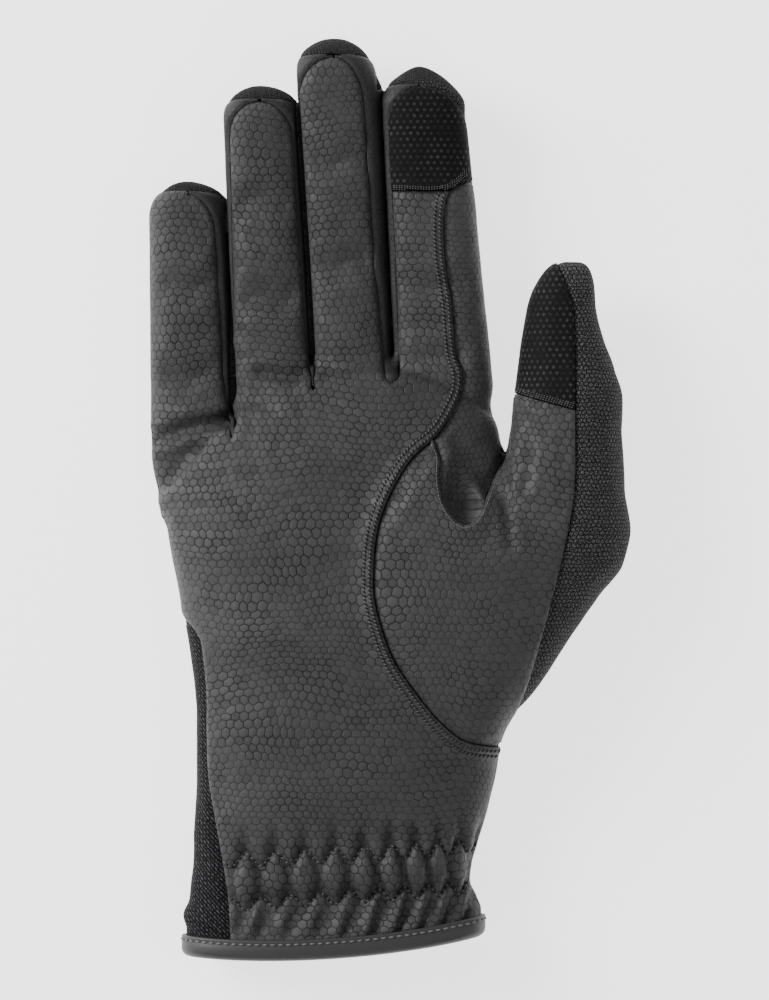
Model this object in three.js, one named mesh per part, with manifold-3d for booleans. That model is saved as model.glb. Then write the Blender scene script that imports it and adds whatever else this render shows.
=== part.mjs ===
// A horse riding glove for the right hand, lying on its back with the palm up.
// Millimetres, +Z up, +Y towards the fingertips and +X towards the thumb.
// The glove is a hollow skin of leather and knit panels that meet at narrow seams,
// with a folded leather binding round the cuff.

import * as THREE from "three";
import { mergeVertices } from "three/addons/utils/BufferGeometryUtils.js";
import Module from "manifold-3d";

const wasm = await Module();
wasm.setup();

// Driving dimensions of the hand
const palmLength = 153; // hem to the finger roots, on the middle line
const palmWidth = 88; // across the knuckles
const palmDepth = 26; // back of the hand to the palm
const wall = 1.4; // leather and knit alike
const seamGap = 0.3; // between two neighbouring panels
const splitHeight = 9.5; // where the palm meets the back at the side of the hand
const splitDrop = 3; // the same seam is this much lower along the fingers
const hemRise = 2.4; // the hem climbs by this to the thumb side
const hemBow = 3.5; // and to both sides
const knuckleRise = 13; // the line of the finger roots climbs by this to the thumb side
const knuckleDrop = 24.2; // and falls by this to both sides

// Driving dimensions of the fingers
const tipLift = 6; // the middle fingertip curls up by this
const fingerRoot = 15; // a finger starts this far inside the hand
const fingerFlat = 1.2; // the part of a finger's depth that is pressed flat where it lies
const rootFullness = 0.72; // of a finger's width and depth, where it starts
const webLength = 0.5; // the hand runs on between the fingers by this
const gussetNotch = 5; // a gusset's point lies this far inside the hand
const creaseDepth = 0.7; // joint folds on the palm side

// at: the root's place, as a share of half the palm. lean: the tip's shift to the thumb side.
// root, tip: half widths. cap: how far the knit comes over the tip. round: the tip's rounding.
// stripLeft, stripRight: the edges of the palm's strip, as shares of the finger's half width.
const fingers = [
  {
    name: "little", at: -0.75, lean: -1.9, length: 72, root: 10.5, tip: 9.1,
    depth: 13.5, cap: 2.4, round: 9.4, stripLeft: 4, stripRight: 0.75,
  },
  {
    name: "ring", at: -0.281, lean: -3.6, length: 79, root: 10.6, tip: 9.6,
    depth: 15, cap: 3.4, round: 9, stripLeft: 0.8, stripRight: 0.82,
  },
  {
    name: "middle", at: 0.187, lean: -4.9, length: 84, root: 10, tip: 10.9,
    depth: 16, cap: 4.2, round: 11.7, stripLeft: 0.85, stripRight: 0.7,
  },
  {
    name: "index", at: 0.722, lean: -6.1, length: 82, root: 12.8, tip: 10.5,
    depth: 16, cap: 5, round: 10, stripLeft: 0.77, stripRight: 1.05,
  },
];
const [little, ring, middle, index] = fingers;

// Driving dimensions of the thumb, whose sections follow a line from the wrist to the tip
const thumbStart = { x: 41, y: 52 };
const thumbLength = 128.7;
const thumbLean = 23.5; // the tip's shift away from the hand
const thumbWidth = 27;
const thumbDepth = 19;
const thumbSplitRise = 5; // the thumb's side seam climbs by this to the tip

// Driving dimensions of the cuff
const bindingHeight = 5.5;
const bindingSkin = 1; // each leg of the folded strip
const bindingFold = 1.5; // the strip's folded edge, past the panels' edge
const bindingInner = 0.8; // the inner leg, as a share of the outer one
const bindingClear = 0.3; // between the strip and the panels in it
const gatherRise = 0.9; // crest to trough of a gather

// Fineness of the skin
const topSteps = 24; // across the palm: a gather takes two
const backSteps = 8; // across the back
const fingerSides = 14;
const far = 300; // beyond the glove on every side
const splitFrom = 0.7; // share of palmLength where the side seams start to bend
const splitStep = 0.09; // and the share between two of their bends, up to the fingertips
const half = palmWidth / 2;

// along: share of palmLength. bend: how far the section follows the line of the knuckles.
// left, right: shares of half the palm. top, bottom: shares of palmDepth.
// gather: which way the gathers over the elastic swell here.
const handTable = [
  { along: 0, bend: 0, left: -0.79, right: 0.95, top: 0.84, bottom: 0.05, gather: 0 },
  { along: 0.045, bend: 0, left: -0.79, right: 0.95, top: 0.84, bottom: 0.05, gather: 0 },
  { along: 0.07, bend: 0.01, left: -0.81, right: 0.925, top: 0.85, bottom: 0.03, gather: 1 },
  { along: 0.1, bend: 0.02, left: -0.775, right: 0.885, top: 0.82, bottom: 0, gather: 0 },
  { along: 0.13, bend: 0.03, left: -0.765, right: 0.895, top: 0.86, bottom: -0.02, gather: -1 },
  { along: 0.165, bend: 0.04, left: -0.75, right: 0.93, top: 0.88, bottom: -0.03, gather: 0 },
  { along: 0.222, bend: 0.05, left: -0.745, right: 0.99, top: 0.93, bottom: -0.046, gather: 0 },
  { along: 0.327, bend: 0.08, left: -0.73, right: 1.06, top: 0.98, bottom: -0.046, gather: 0 },
  { along: 0.431, bend: 0.12, left: -0.73, right: 1.07, top: 1, bottom: -0.046, gather: 0 },
  { along: 0.549, bend: 0.2, left: -0.77, right: 1.08, top: 1, bottom: -0.046, gather: 0 },
  { along: 0.667, bend: 0.3, left: -0.825, right: 1.09, top: 0.98, bottom: -0.046, gather: 0 },
  { along: 0.771, bend: 0.42, left: -0.88, right: 1.1, top: 0.96, bottom: -0.046, gather: 0 },
  { along: 0.863, bend: 0.57, left: -0.91, right: 1.1, top: 0.91, bottom: -0.046, gather: 0 },
  { along: 0.935, bend: 0.74, left: -0.95, right: 1.065, top: 0.83, bottom: -0.046, gather: 0 },
  { along: 0.98, bend: 0.9, left: -0.97, right: 1.045, top: 0.72, bottom: -0.046, gather: 0 },
  { along: 1, bend: 1, left: -0.975, right: 1.03, top: 0.58, bottom: -0.046, gather: 0 },
  { along: 1.25, bend: 1, left: -0.975, right: 1.03, top: 0.4, bottom: -0.046, gather: 0 },
];

// along: share of thumbLength. left, right: shares of thumbWidth from the line.
// top, bottom: shares of thumbDepth above what the glove lies on.
const thumbTable = [
  { along: 0, left: -0.19, right: 0.1, top: 0.95, bottom: 0.3 },
  { along: 0.054, left: -0.31, right: 0.2, top: 1.12, bottom: 0.1 },
  { along: 0.135, left: -0.45, right: 0.44, top: 1.24, bottom: 0 },
  { along: 0.206, left: -0.55, right: 0.6, top: 1.32, bottom: -0.06 },
  { along: 0.327, left: -0.62, right: 0.885, top: 1.38, bottom: -0.06 },
  { along: 0.388, left: -0.6, right: 1.05, top: 1.4, bottom: -0.06 },
  { along: 0.448, left: -0.5, right: 1.08, top: 1.4, bottom: -0.06 },
  { along: 0.539, left: -0.38, right: 0.95, top: 1.38, bottom: -0.02 },
  { along: 0.6, left: -0.25, right: 0.885, top: 1.36, bottom: 0.04 },
  { along: 0.66, left: -0.244, right: 0.807, top: 1.34, bottom: 0.1 },
  { along: 0.721, left: -0.278, right: 0.774, top: 1.32, bottom: 0.14 },
  { along: 0.782, left: -0.293, right: 0.64, top: 1.29, bottom: 0.2 },
  { along: 0.842, left: -0.307, right: 0.474, top: 1.25, bottom: 0.28 },
  { along: 0.903, left: -0.31, right: 0.355, top: 1.2, bottom: 0.35 },
  { along: 0.933, left: -0.296, right: 0.32, top: 1.16, bottom: 0.4 },
  { along: 0.963, left: -0.248, right: 0.274, top: 1.08, bottom: 0.47 },
  { along: 1, left: -0.15, right: 0.19, top: 0.94, bottom: 0.58 },
];

// The ball of the thumb, which swells above the palm, in the same shares as the thumb
const ballTable = [
  { along: 0.026, left: -0.28, right: 0.1, top: 1.2, bottom: 0.6 },
  { along: 0.073, left: -0.56, right: 0.14, top: 1.34, bottom: 0.6 },
  { along: 0.129, left: -0.82, right: 0.185, top: 1.42, bottom: 0.6 },
  { along: 0.198, left: -1.1, right: 0.27, top: 1.48, bottom: 0.6 },
  { along: 0.269, left: -1.29, right: 0.36, top: 1.53, bottom: 0.6 },
  { along: 0.329, left: -1.4, right: 0.42, top: 1.55, bottom: 0.6 },
  { along: 0.392, left: -1.46, right: 0.44, top: 1.55, bottom: 0.6 },
  { along: 0.448, left: -1.48, right: 0.24, top: 1.53, bottom: 0.6 },
  { along: 0.509, left: -1.45, right: -0.2, top: 1.48, bottom: 0.6 },
  { along: 0.57, left: -1.36, right: -0.62, top: 1.4, bottom: 0.6 },
  { along: 0.61, left: -1.24, right: -0.76, top: 1.28, bottom: 0.6 },
  { along: 0.645, left: -1.08, right: -0.87, top: 1.1, bottom: 0.6 },
];

// The hollow between the thumb and the index finger: a dent over the thumb's root
const crotchDent = { along: 0.57, across: -0.6, halfWidth: 5.5, halfLength: 11, depth: 12, top: 1.55 };

// Seams of the thumb. along, across: shares of the thumb's length and width, from its line.
const ballSeam = [
  { along: 0.655, across: -0.94 },
  { along: 0.61, across: -1.14 },
  { along: 0.57, across: -1.245 },
  { along: 0.509, across: -1.337 },
  { along: 0.448, across: -1.367 },
  { along: 0.392, across: -1.344 },
  { along: 0.329, across: -1.289 },
  { along: 0.269, across: -1.174 },
  { along: 0.198, across: -0.985 },
  { along: 0.129, across: -0.704 },
  { along: 0.073, across: -0.433 },
  { along: 0.03, across: -0.12 },
  { along: 0.018, across: 0.4 },
];
const crotchSeam = [
  { along: 0.67, across: -1.1 },
  { along: 0.61, across: -0.904 },
  { along: 0.566, across: -0.867 },
  { along: 0.521, across: -0.798 },
  { along: 0.487, across: -0.68 },
  { along: 0.4685, across: -0.541 },
  { along: 0.481, across: -0.444 },
  { along: 0.507, across: -0.4 },
  { along: 0.566, across: -0.337 },
  { along: 0.616, across: -0.263 },
  { along: 0.66, across: -0.293 },
  { along: 0.741, across: -0.393 },
  { along: 0.923, across: -0.54 },
  { along: 1.1, across: -0.5 },
];
const backThumbSeam = [
  { along: 1.1, across: -0.5 },
  { along: 0.923, across: -0.54 },
  { along: 0.741, across: -0.393 },
  { along: 0.629, across: -0.266 },
  { along: 0.528, across: -0.311 },
  { along: 0.404, across: -0.352 },
  { along: 0.264, across: -0.285 },
  { along: 0.14, across: -0.122 },
  { along: 0.06, across: 0.05 },
  { along: 0.018, across: 0.4 },
];
const thumbKnitSeam = [
  { along: 1.1, across: -0.3 },
  { along: 1, across: -0.115 },
  { along: 0.957, across: 0 },
  { along: 0.915, across: 0.104 },
  { along: 0.869, across: 0.163 },
  { along: 0.792, across: 0.237 },
  { along: 0.681, across: 0.333 },
  { along: 0.519, across: 0.456 },
  { along: 0.317, across: 0.422 },
  { along: 0.135, across: 0.337 },
  { along: 0.02, across: 0.196 },
  { along: -0.08, across: 0.1 },
];
const thumbTouchSeam = [
  { along: 0.81, across: -1.2 },
  { along: 0.733, across: -0.27 },
  { along: 0.699, across: 0.32 },
  { along: 0.65, across: 1.2 },
];
// Seams of the index finger. along, across: shares of its length and half width.
const indexSeam = [
  { along: 0.68, across: 1.9 },
  { along: 0.635, across: 0.9 },
  { along: 0.582, across: 0.417 },
  { along: 0.413, across: 0.254 },
  { along: 0.255, across: 0.32 },
  { along: 0.08, across: 0.33 },
  { along: 0.027, across: 0.426 },
  { along: -0.046, across: 0.34 },
];
const indexTouchSeam = [
  { along: 0.6, across: -4 },
  { along: 0.6, across: 0.417 },
  { along: 0.68, across: 1.9 },
];
// The seam of the wrist's side panel. along, across: shares of palmLength and half the palm.
const wristSeam = [
  { along: 0.62, across: -1 },
  { along: 0.571, across: -0.786 },
  { along: 0.544, across: -0.709 },
  { along: 0.505, across: -0.686 },
  { along: 0.45, across: -0.668 },
  { along: 0.388, across: -0.668 },
  { along: 0.309, across: -0.657 },
  { along: 0.233, across: -0.614 },
  { along: 0.158, across: -0.568 },
  { along: 0.1, across: -0.539 },
  { along: 0.029, across: -0.525 },
  { along: -0.08, across: -0.51 },
];
// The joint folds on the fingers. along: share of the finger's length.
const creases = [0.3, 0.62];

// The inside takes every other row of a table, and its ends.
const rowsFor = (table, inset) =>
  inset ? table.filter((row, i) => i % 2 === 1 || i === 0 || i === table.length - 1) : table;

// Places
const point = (x, y) => new THREE.Vector2(x, y);
const onPalm = (p) => point(p.across * half, p.along * palmLength);
const onThumb = (p) =>
  point(thumbStart.x + p.along * thumbLean + p.across * thumbWidth, thumbStart.y + p.along * thumbLength);

// How far the line of the knuckles, or of the hem, stands off a straight line at x
const knuckleAt = (x) => knuckleRise * (x / half) - knuckleDrop * (x / half) ** 2;
const hemAt = (x) => hemRise * (x / half) + hemBow * (x / half) ** 2;

const rootOf = (f) => point(f.at * half, palmLength + knuckleAt(f.at * half));
const onFinger = (f, p) => {
  const root = rootOf(f);
  const halfWidth = THREE.MathUtils.lerp(f.root, f.tip, Math.max(0, p.along));
  return point(root.x + f.lean * p.along + p.across * halfWidth, root.y + p.along * f.length);
};

// The fingers curl up from the knuckles, and palm and back part at about half their depth.
const curlAt = (y) => tipLift * (Math.max(0, y / palmLength - 0.85) / 0.7) ** 2;
const splitAt = (y) =>
  splitHeight - splitDrop * THREE.MathUtils.smoothstep(y / palmLength, 0.7, 1) + curlAt(y);
const thumbSplitAt = (y) =>
  splitHeight + thumbSplitRise * THREE.MathUtils.smoothstep((y - thumbStart.y) / thumbLength, 0.4, 0.9);

// A section's points round its widest line, as shares of its half width and height, from the
// right over the top to the left and back below.
const oval = (sides) =>
  Array.from({ length: sides }, (_, i) => {
    const angle = (2 * Math.PI * i) / sides;
    return { across: Math.cos(angle), up: Math.sin(angle), wave: 0 };
  });
const squared = (points, power) =>
  points.map((p) => {
    const reach = (Math.abs(p.across) ** power + Math.abs(p.up) ** power) ** (-1 / power);
    return { across: p.across * reach, up: p.up * reach, wave: 0 };
  });
function cushion(power) {
  const points = [];
  const place = (t) => t * (1.25 - 0.25 * t * t);
  for (const [steps, side] of [[topSteps, 1], [backSteps, -1]]) {
    for (let i = 0; i < steps; i++) {
      const across = side * place(1 - (2 * i) / steps);
      const up = side * Math.max(0, 1 - Math.abs(across) ** power) ** (1 / power);
      const wave = side > 0 && i > 1 && i < steps - 1 ? (i % 2 ? 0.5 : -0.5) : 0;
      points.push({ across, up, wave });
    }
  }
  return points;
}
const handPoints = cushion(2.6);
const fingerPoints = squared(oval(fingerSides), 2.2);

// s: left, right, top, bottom and the height of the widest line. y: how far along at x.
function section(points, s, y) {
  return points.map((p) => {
    const x = (s.left + s.right) / 2 + (p.across * (s.right - s.left)) / 2;
    const reach = p.up > 0 ? s.top - s.widest : s.widest - s.bottom;
    return new THREE.Vector3(x, y(x), s.widest + reach * p.up + gatherRise * p.wave * (s.gather ?? 0));
  });
}

// A closed skin over rings of equally many points, each end shut at its middle
function skin(rings) {
  const sides = rings[0].length;
  const centre = (r) => r.reduce((sum, p) => sum.add(p), new THREE.Vector3()).divideScalar(sides);
  const points = [...rings.flat(), centre(rings[0]), centre(rings.at(-1))];
  const faces = [];
  const last = (rings.length - 1) * sides;
  for (let i = 0; i < sides; i++) {
    const j = (i + 1) % sides;
    for (let a = 0; a < last; a += sides) {
      const b = a + sides;
      faces.push(a + i, b + i, b + j, a + i, b + j, a + j);
    }
    faces.push(points.length - 2, i, j, points.length - 1, last + j, last + i);
  }
  return new THREE.BufferGeometry().setFromPoints(points).setIndex(faces);
}

// Geometry to a solid for joining and cutting, and back
function solid(geometry) {
  const bare = new THREE.BufferGeometry()
    .setAttribute("position", geometry.getAttribute("position").clone())
    .setIndex(geometry.index);
  const merged = mergeVertices(bare, 1e-4);
  return new wasm.Manifold(
    new wasm.Mesh({
      numProp: 3,
      vertProperties: new Float32Array(merged.attributes.position.array),
      triVerts: new Uint32Array(merged.index.array),
    }),
  );
}

function geometryOf(made) {
  const mesh = made.getMesh();
  return new THREE.BufferGeometry()
    .setAttribute("position", new THREE.BufferAttribute(new Float32Array(mesh.vertProperties), 3))
    .setIndex(new THREE.BufferAttribute(new Uint32Array(mesh.triVerts), 1));
}

const joined = (solids) => solids.reduce((sum, s) => sum.add(s));
const largest = (made) => made.decompose().reduce((a, b) => (a.volume() > b.volume() ? a : b));

// The hand, with its skin drawn in by inset
function hand(inset) {
  const rings = rowsFor(handTable, inset).map((row, i) => {
    const start = i === 0 ? -4 * inset : 0;
    return section(
      handPoints,
      {
        left: row.left * half + inset,
        right: row.right * half - inset,
        top: row.top * palmDepth - inset,
        bottom: row.bottom * palmDepth + inset,
        widest: splitHeight,
        gather: row.gather,
      },
      (x) => row.along * palmLength + (1 - row.bend) * hemAt(x) + row.bend * knuckleAt(x) + start,
    );
  });
  const knuckles = [];
  for (let x = 60; x >= -60; x -= 6) {
    knuckles.push(point(x, palmLength + knuckleAt(x) + webLength - inset));
  }
  return solid(skin(rings)).intersect(prism([...knuckles, point(-far, -far), point(far, -far)]));
}

// One finger: straight stations with its joint folds, then the rounded tip
function finger(f, inset) {
  const folds = inset ? [0.45] : creases.flatMap((c) => [c - 0.06, c, c + 0.06]);
  const roundFrom = 1 - f.round / f.length;
  const turns = (inset ? [0, 35, 68] : [0, 25, 48, 67, 81]).map((a) => THREE.MathUtils.degToRad(a));
  const rows = [-fingerRoot / f.length, 0, ...folds, 0.8]
    .map((along) => ({
      along,
      fullness: along < 0 ? rootFullness : 1,
      fold: !inset && creases.includes(along) ? creaseDepth : 0,
    }))
    .concat(
      turns.map((turn) => ({
        along: roundFrom + (1 - inset / f.length - roundFrom) * Math.sin(turn),
        fullness: Math.cos(turn),
        fold: 0,
      })),
    );
  const rings = rows.map((row) => {
    const mid = onFinger(f, { along: row.along, across: 0 });
    const halfWidth = onFinger(f, { along: row.along, across: 1 }).x - mid.x - inset;
    const widest = curlAt(mid.y) + (f.depth - fingerFlat) / 2;
    const reach = f.depth / 2 - inset;
    const sides = {
      left: mid.x - halfWidth * row.fullness,
      right: mid.x + halfWidth * row.fullness,
      top: widest + (reach - row.fold) * row.fullness,
      bottom: widest - reach * row.fullness,
      widest,
    };
    return section(fingerPoints, sides, () => mid.y);
  });
  return solid(skin(rings));
}

// The thumb, or its ball, from its table
function thumbBody(table, inset) {
  const rings = rowsFor(table, inset).map((row, i, rows) => {
    const left = onThumb({ along: row.along, across: row.left });
    const right = onThumb({ along: row.along, across: row.right });
    const y = left.y - (i === rows.length - 1 ? inset : 0);
    const top = row.top * thumbDepth - inset;
    const bottom = row.bottom * thumbDepth + inset;
    const sides = {
      left: left.x + inset,
      right: Math.max(right.x - inset, left.x + inset + 0.5),
      top,
      bottom,
      widest: (top + bottom) / 2,
    };
    return section(fingerPoints, sides, () => y);
  });
  return solid(skin(rings));
}

function dent(grow) {
  const centre = onThumb(crotchDent);
  const ball = new THREE.SphereGeometry(1, 12, 7);
  ball.scale(crotchDent.halfWidth + grow, crotchDent.halfLength + grow, crotchDent.depth + grow);
  ball.translate(centre.x, centre.y, crotchDent.top * thumbDepth);
  return solid(ball);
}

// A prism over an outline in plan
function prism(outline, low = -far, high = far) {
  const block = new THREE.ExtrudeGeometry(new THREE.Shape(outline), {
    depth: high - low,
    bevelEnabled: false,
  });
  block.translate(0, 0, low);
  return solid(block);
}

// A seam's points moved sideways by offset, to the left of the way it runs
function shifted(points, offset) {
  return points.map((p, i) => {
    const before = points[Math.max(0, i - 1)];
    const after = points[Math.min(points.length - 1, i + 1)];
    const way = after.clone().sub(before).normalize();
    return point(p.x - way.y * offset, p.y + way.x * offset);
  });
}

// The side of a seam that reaches the given far points, and stops short of it by half the gap.
// side: 1 to the left of the way it runs, -1 to the right.
const besides = (points, side, ends) => prism([...shifted(points, (side * seamGap) / 2), ...ends]);

// What lies over or under a line in y and z that stands along x. side: 1 over, -1 under.
function levelled(heightAt, side) {
  const shape = new THREE.Shape();
  shape.moveTo(-far, side * far);
  const bends = Array.from({ length: 11 }, (_, i) => (splitFrom + splitStep * i) * palmLength);
  for (const y of [-far, ...bends, far]) {
    shape.lineTo(y, heightAt(y) + (side * seamGap) / 2);
  }
  shape.lineTo(far, side * far);
  const block = new THREE.ExtrudeGeometry(shape, { depth: 2 * far, bevelEnabled: false });
  block.translate(0, 0, -far);
  const turn = new THREE.Matrix4().makeBasis(
    new THREE.Vector3(0, 1, 0),
    new THREE.Vector3(0, 0, 1),
    new THREE.Vector3(1, 0, 0),
  );
  return solid(block.applyMatrix4(turn));
}

// The whole skin: the outside less the inside, flat where it lies and open at the hem
function body(inset) {
  const parts = [hand(inset), ...fingers.map((f) => finger(f, inset))];
  for (const table of [thumbTable, ballTable]) parts.push(thumbBody(table, inset));
  const box = new THREE.BoxGeometry(2 * far, 2 * far, far);
  box.translate(0, 0, far / 2 + inset);
  return joined(parts).subtract(dent(inset)).intersect(solid(box));
}
const hemLine = [];
for (let x = -60; x <= 100; x += 8) hemLine.push(point(x, hemAt(x) + bindingFold + bindingClear));
const hollow = body(0)
  .subtract(body(wall))
  .intersect(prism([...hemLine, point(far, far), point(-far, far)]));

// The palm's edge along the index finger and round the ball of the thumb
const palmEdge = [...indexSeam.map((p) => onFinger(index, p)), ...ballSeam.map(onThumb)];
const palmSide = besides(palmEdge, -1, [point(far, -far), point(-far, -far), point(-far, far), point(far, far)]);
const outerSide = besides(palmEdge, 1, [point(far, 0)]);

// Where the index finger's side ends and the thumb begins
const crotch = crotchSeam.map(onThumb);
const thumbSide = besides(crotch, -1, [
  point(far, far), point(far, -far), point(-far, -far), point(-far, crotch[0].y),
]);
const indexSide = besides(crotch, 1, [point(crotch.at(-1).x, far), point(0, far)]);
const backThumb = backThumbSeam.map(onThumb);
const backOfThumb = besides(backThumb, 1, [point(far, 50), point(far, far)]);
const backOfHand = besides(backThumb, -1, [
  point(far, -far), point(-far, -far), point(-far, far), point(backThumb[0].x, far),
]);
const knit = thumbKnitSeam.map(onThumb);
const knitSide = besides(knit, 1, [point(far, 0), point(far, far)]);
const leatherSide = besides(knit, -1, [point(-far, 0), point(-far, far)]);
const thumbPatch = thumbTouchSeam.map(onThumb);
const thumbPatchSide = besides(thumbPatch, 1, [point(far, far), point(-far, far)]);
const thumbPalmSide = besides(thumbPatch, -1, [point(far, -far), point(-far, -far)]);
const indexPatch = indexTouchSeam.map((p) => onFinger(index, p));
const indexPatchSide = besides(indexPatch, 1, [point(far, far), point(-far, far)]);
const belowIndexPatch = besides(indexPatch, -1, [point(far, -far), point(-far, -far)]);
const wrist = wristSeam.map(onPalm);
const wristTop = point(-far, wrist[0].y); // level with where the wrist's seam starts
const wristSide = besides(wrist, -1, [point(-far, -far), wristTop]);
const besidesWrist = besides(wrist, 1, [point(far, -far), point(far, far), point(-far, far), wristTop]);

const over = levelled(splitAt, 1);
const under = levelled(splitAt, -1);
const overThumb = levelled(thumbSplitAt, 1);
const underThumb = levelled(thumbSplitAt, -1);

// The palm's strip on a finger: straight edges that close in an arch at the knit of the tip
function strip(f, grow) {
  const edge = (share, side) => side * Math.min(share, 4);
  const low = -0.6;
  const arch = [];
  const top = 1 - f.cap / f.length - 0.01;
  const rise = (f.round * 1.1) / f.length;
  for (const turn of [0, 0.25, 0.5, 0.75, 1]) {
    const angle = (Math.PI / 2) * turn;
    arch.push({ along: top - rise + rise * Math.sin(angle), share: Math.cos(angle) });
  }
  const right = arch.map((a) => ({ along: a.along, across: edge(f.stripRight, 1) * a.share }));
  const left = arch.map((a) => ({ along: a.along, across: edge(f.stripLeft, -1) * a.share })).reverse();
  const outline = [
    { along: low, across: edge(f.stripRight, 1) },
    ...right,
    ...left.slice(1),
    { along: low, across: edge(f.stripLeft, -1) },
  ];
  return prism(shifted(outline.map((p) => onFinger(f, p)), -grow));
}

// The knit over a fingertip
function tipEnd(f, side) {
  const tip = onFinger(f, { along: 1, across: 0 });
  const low = tip.y - f.cap + (side * seamGap) / 2;
  const high = tip.y + f.cap;
  const [left, right] = [tip.x - f.tip, tip.x + f.tip];
  return prism([point(left, low), point(right, low), point(right, high), point(left, high)]);
}
// The index finger's outer corner is knit too, beside the arch of its touch patch.
function indexCorner(side) {
  const high = { x: onFinger(index, { along: 1, across: 0 }).x, y: onFinger(index, { along: 1, across: 0 }).y };
  const low = onFinger(index, { along: 1 - (1.7 * index.round) / index.length, across: 1.3 });
  const box = [point(high.x, low.y), point(low.x, low.y), point(low.x, high.y + 2), point(high.x, high.y + 2)];
  return prism(box).subtract(strip(index, (side * seamGap) / 2));
}
const tipEnds = (side) => joined([...fingers.map((f) => tipEnd(f, side)), indexCorner(side)]);

// The gusset between two fingers: what their strips leave between their middle lines
function gussetSpace(a, b, grow) {
  const x = (onFinger(a, { along: 0, across: 1 }).x + onFinger(b, { along: 0, across: -1 }).x) / 2;
  const y = palmLength + knuckleAt(x);
  const notch = [
    point(rootOf(a).x, y + gussetNotch),
    point(x, y - gussetNotch),
    point(rootOf(b).x, y + gussetNotch),
  ];
  return prism([
    ...shifted(notch, -grow),
    onFinger(b, { along: 1.2, across: 0 }),
    onFinger(a, { along: 1.2, across: 0 }),
  ]);
}
const neighbours = [[little, ring], [ring, middle], [middle, index]];
const strips = (grow) => joined(fingers.map((f) => strip(f, grow)));
const gussetSpaces = (grow) => joined(neighbours.map(([a, b]) => gussetSpace(a, b, grow)));

const upper = hollow.intersect(over);
const gusset = (a, b) =>
  upper.intersect(gussetSpace(a, b, 0)).subtract(strips(seamGap / 2)).subtract(tipEnds(-1));
const palmStrips = gussetSpaces(seamGap / 2).subtract(strips(-seamGap / 2));
const upperPalm = upper.subtract(palmStrips).subtract(tipEnds(-1));
const thumbTop = hollow.intersect(overThumb).intersect(outerSide).intersect(thumbSide);
const thumbOuter = outerSide.intersect(thumbSide).intersect(knitSide);
const indexOuter = upperPalm.intersect(belowIndexPatch).intersect(outerSide).intersect(indexSide);

// The folded strip round the hem: outer leg, folded edge and inner leg
function binding() {
  const row = handTable[0];
  const ringAt = (out, up) =>
    section(
      handPoints,
      {
        left: row.left * half - out,
        right: row.right * half + out,
        top: row.top * palmDepth + out,
        bottom: row.bottom * palmDepth - out,
        widest: splitHeight,
      },
      (x) => hemAt(x) + up,
    );
  const outFar = bindingClear + bindingSkin;
  const inFar = -wall - outFar;
  const loop = [
    ringAt(outFar, bindingHeight),
    ringAt(outFar, 0),
    ringAt(inFar, 0),
    ringAt(inFar, bindingHeight * bindingInner),
    ringAt(inFar + bindingSkin, bindingHeight * bindingInner),
    ringAt(inFar + bindingSkin, bindingFold),
    ringAt(bindingClear, bindingFold),
    ringAt(bindingClear, bindingHeight),
  ];
  const sides = handPoints.length;
  const faces = [];
  for (let k = 0; k < loop.length; k++) {
    for (let i = 0; i < sides; i++) {
      const j = (i + 1) % sides;
      const [a, b] = [k * sides, ((k + 1) % loop.length) * sides];
      faces.push(a + i, b + j, b + i, a + i, a + j, b + j);
    }
  }
  return solid(new THREE.BufferGeometry().setFromPoints(loop.flat()).setIndex(faces));
}

const leather = new THREE.MeshStandardMaterial({ name: "leather", color: 0x46474a, roughness: 0.6 });
const knitCloth = new THREE.MeshStandardMaterial({ name: "knit", color: 0x1f1f21, roughness: 0.95 });
const touchCloth = new THREE.MeshStandardMaterial({ name: "touch", color: 0x2a2a2c, roughness: 0.8 });

const panels = [
  ["palm_panel", leather, upperPalm.intersect(palmSide).intersect(besidesWrist)
    .subtract(strip(index, 0).subtract(belowIndexPatch))],
  ["back_panel", knitCloth, hollow.intersect(under.add(tipEnds(1))).intersect(backOfHand)],
  ["fourchette_little_ring", leather, gusset(little, ring)],
  ["fourchette_ring_middle", leather, gusset(ring, middle)],
  ["fourchette_middle_index", leather, gusset(middle, index)],
  ["index_side_panel", leather, indexOuter],
  ["index_touch_patch", touchCloth, upperPalm.intersect(indexPatchSide).intersect(strip(index, -seamGap / 2))],
  ["thumb_palm_panel", leather, thumbTop.intersect(leatherSide).intersect(thumbPalmSide)],
  ["thumb_touch_patch", touchCloth, thumbTop.intersect(leatherSide).intersect(thumbPatchSide)],
  ["thumb_back_panel", knitCloth, hollow.intersect(backOfThumb).intersect(underThumb.add(thumbOuter))],
  ["wrist_side_panel", knitCloth, upper.intersect(wristSide)],
  ["cuff_binding", leather, binding()],
];

const glove = new THREE.Group();
glove.name = "riding_glove";
for (const [name, material, made] of panels) {
  const mesh = new THREE.Mesh(geometryOf(largest(made)), material);
  mesh.name = name;
  glove.add(mesh);
}

// The glove stands on the origin, which is the middle of what it covers.
const box = new THREE.Box3().setFromObject(glove);
const centre = box.getCenter(new THREE.Vector3());
for (const mesh of glove.children) mesh.geometry.translate(-centre.x, -centre.y, -box.min.z);

export default glove;
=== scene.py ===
# %% [markdown]
# # A riding glove, lying on its back with the palm up
# The real glove is sewn from flat pieces: a grained leather palm, narrow leather strips
# between the fingers, a knit back, a knit and leather thumb and a bound cuff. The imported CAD
# model gives every place and size. Here its panels are made again with soft skins, turned
# edges, folds, gathers and threads, and each new panel stands for its CAD node.

import math

import bpy
import numpy as np
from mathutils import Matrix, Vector
from mathutils.bvhtree import BVHTree


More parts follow.
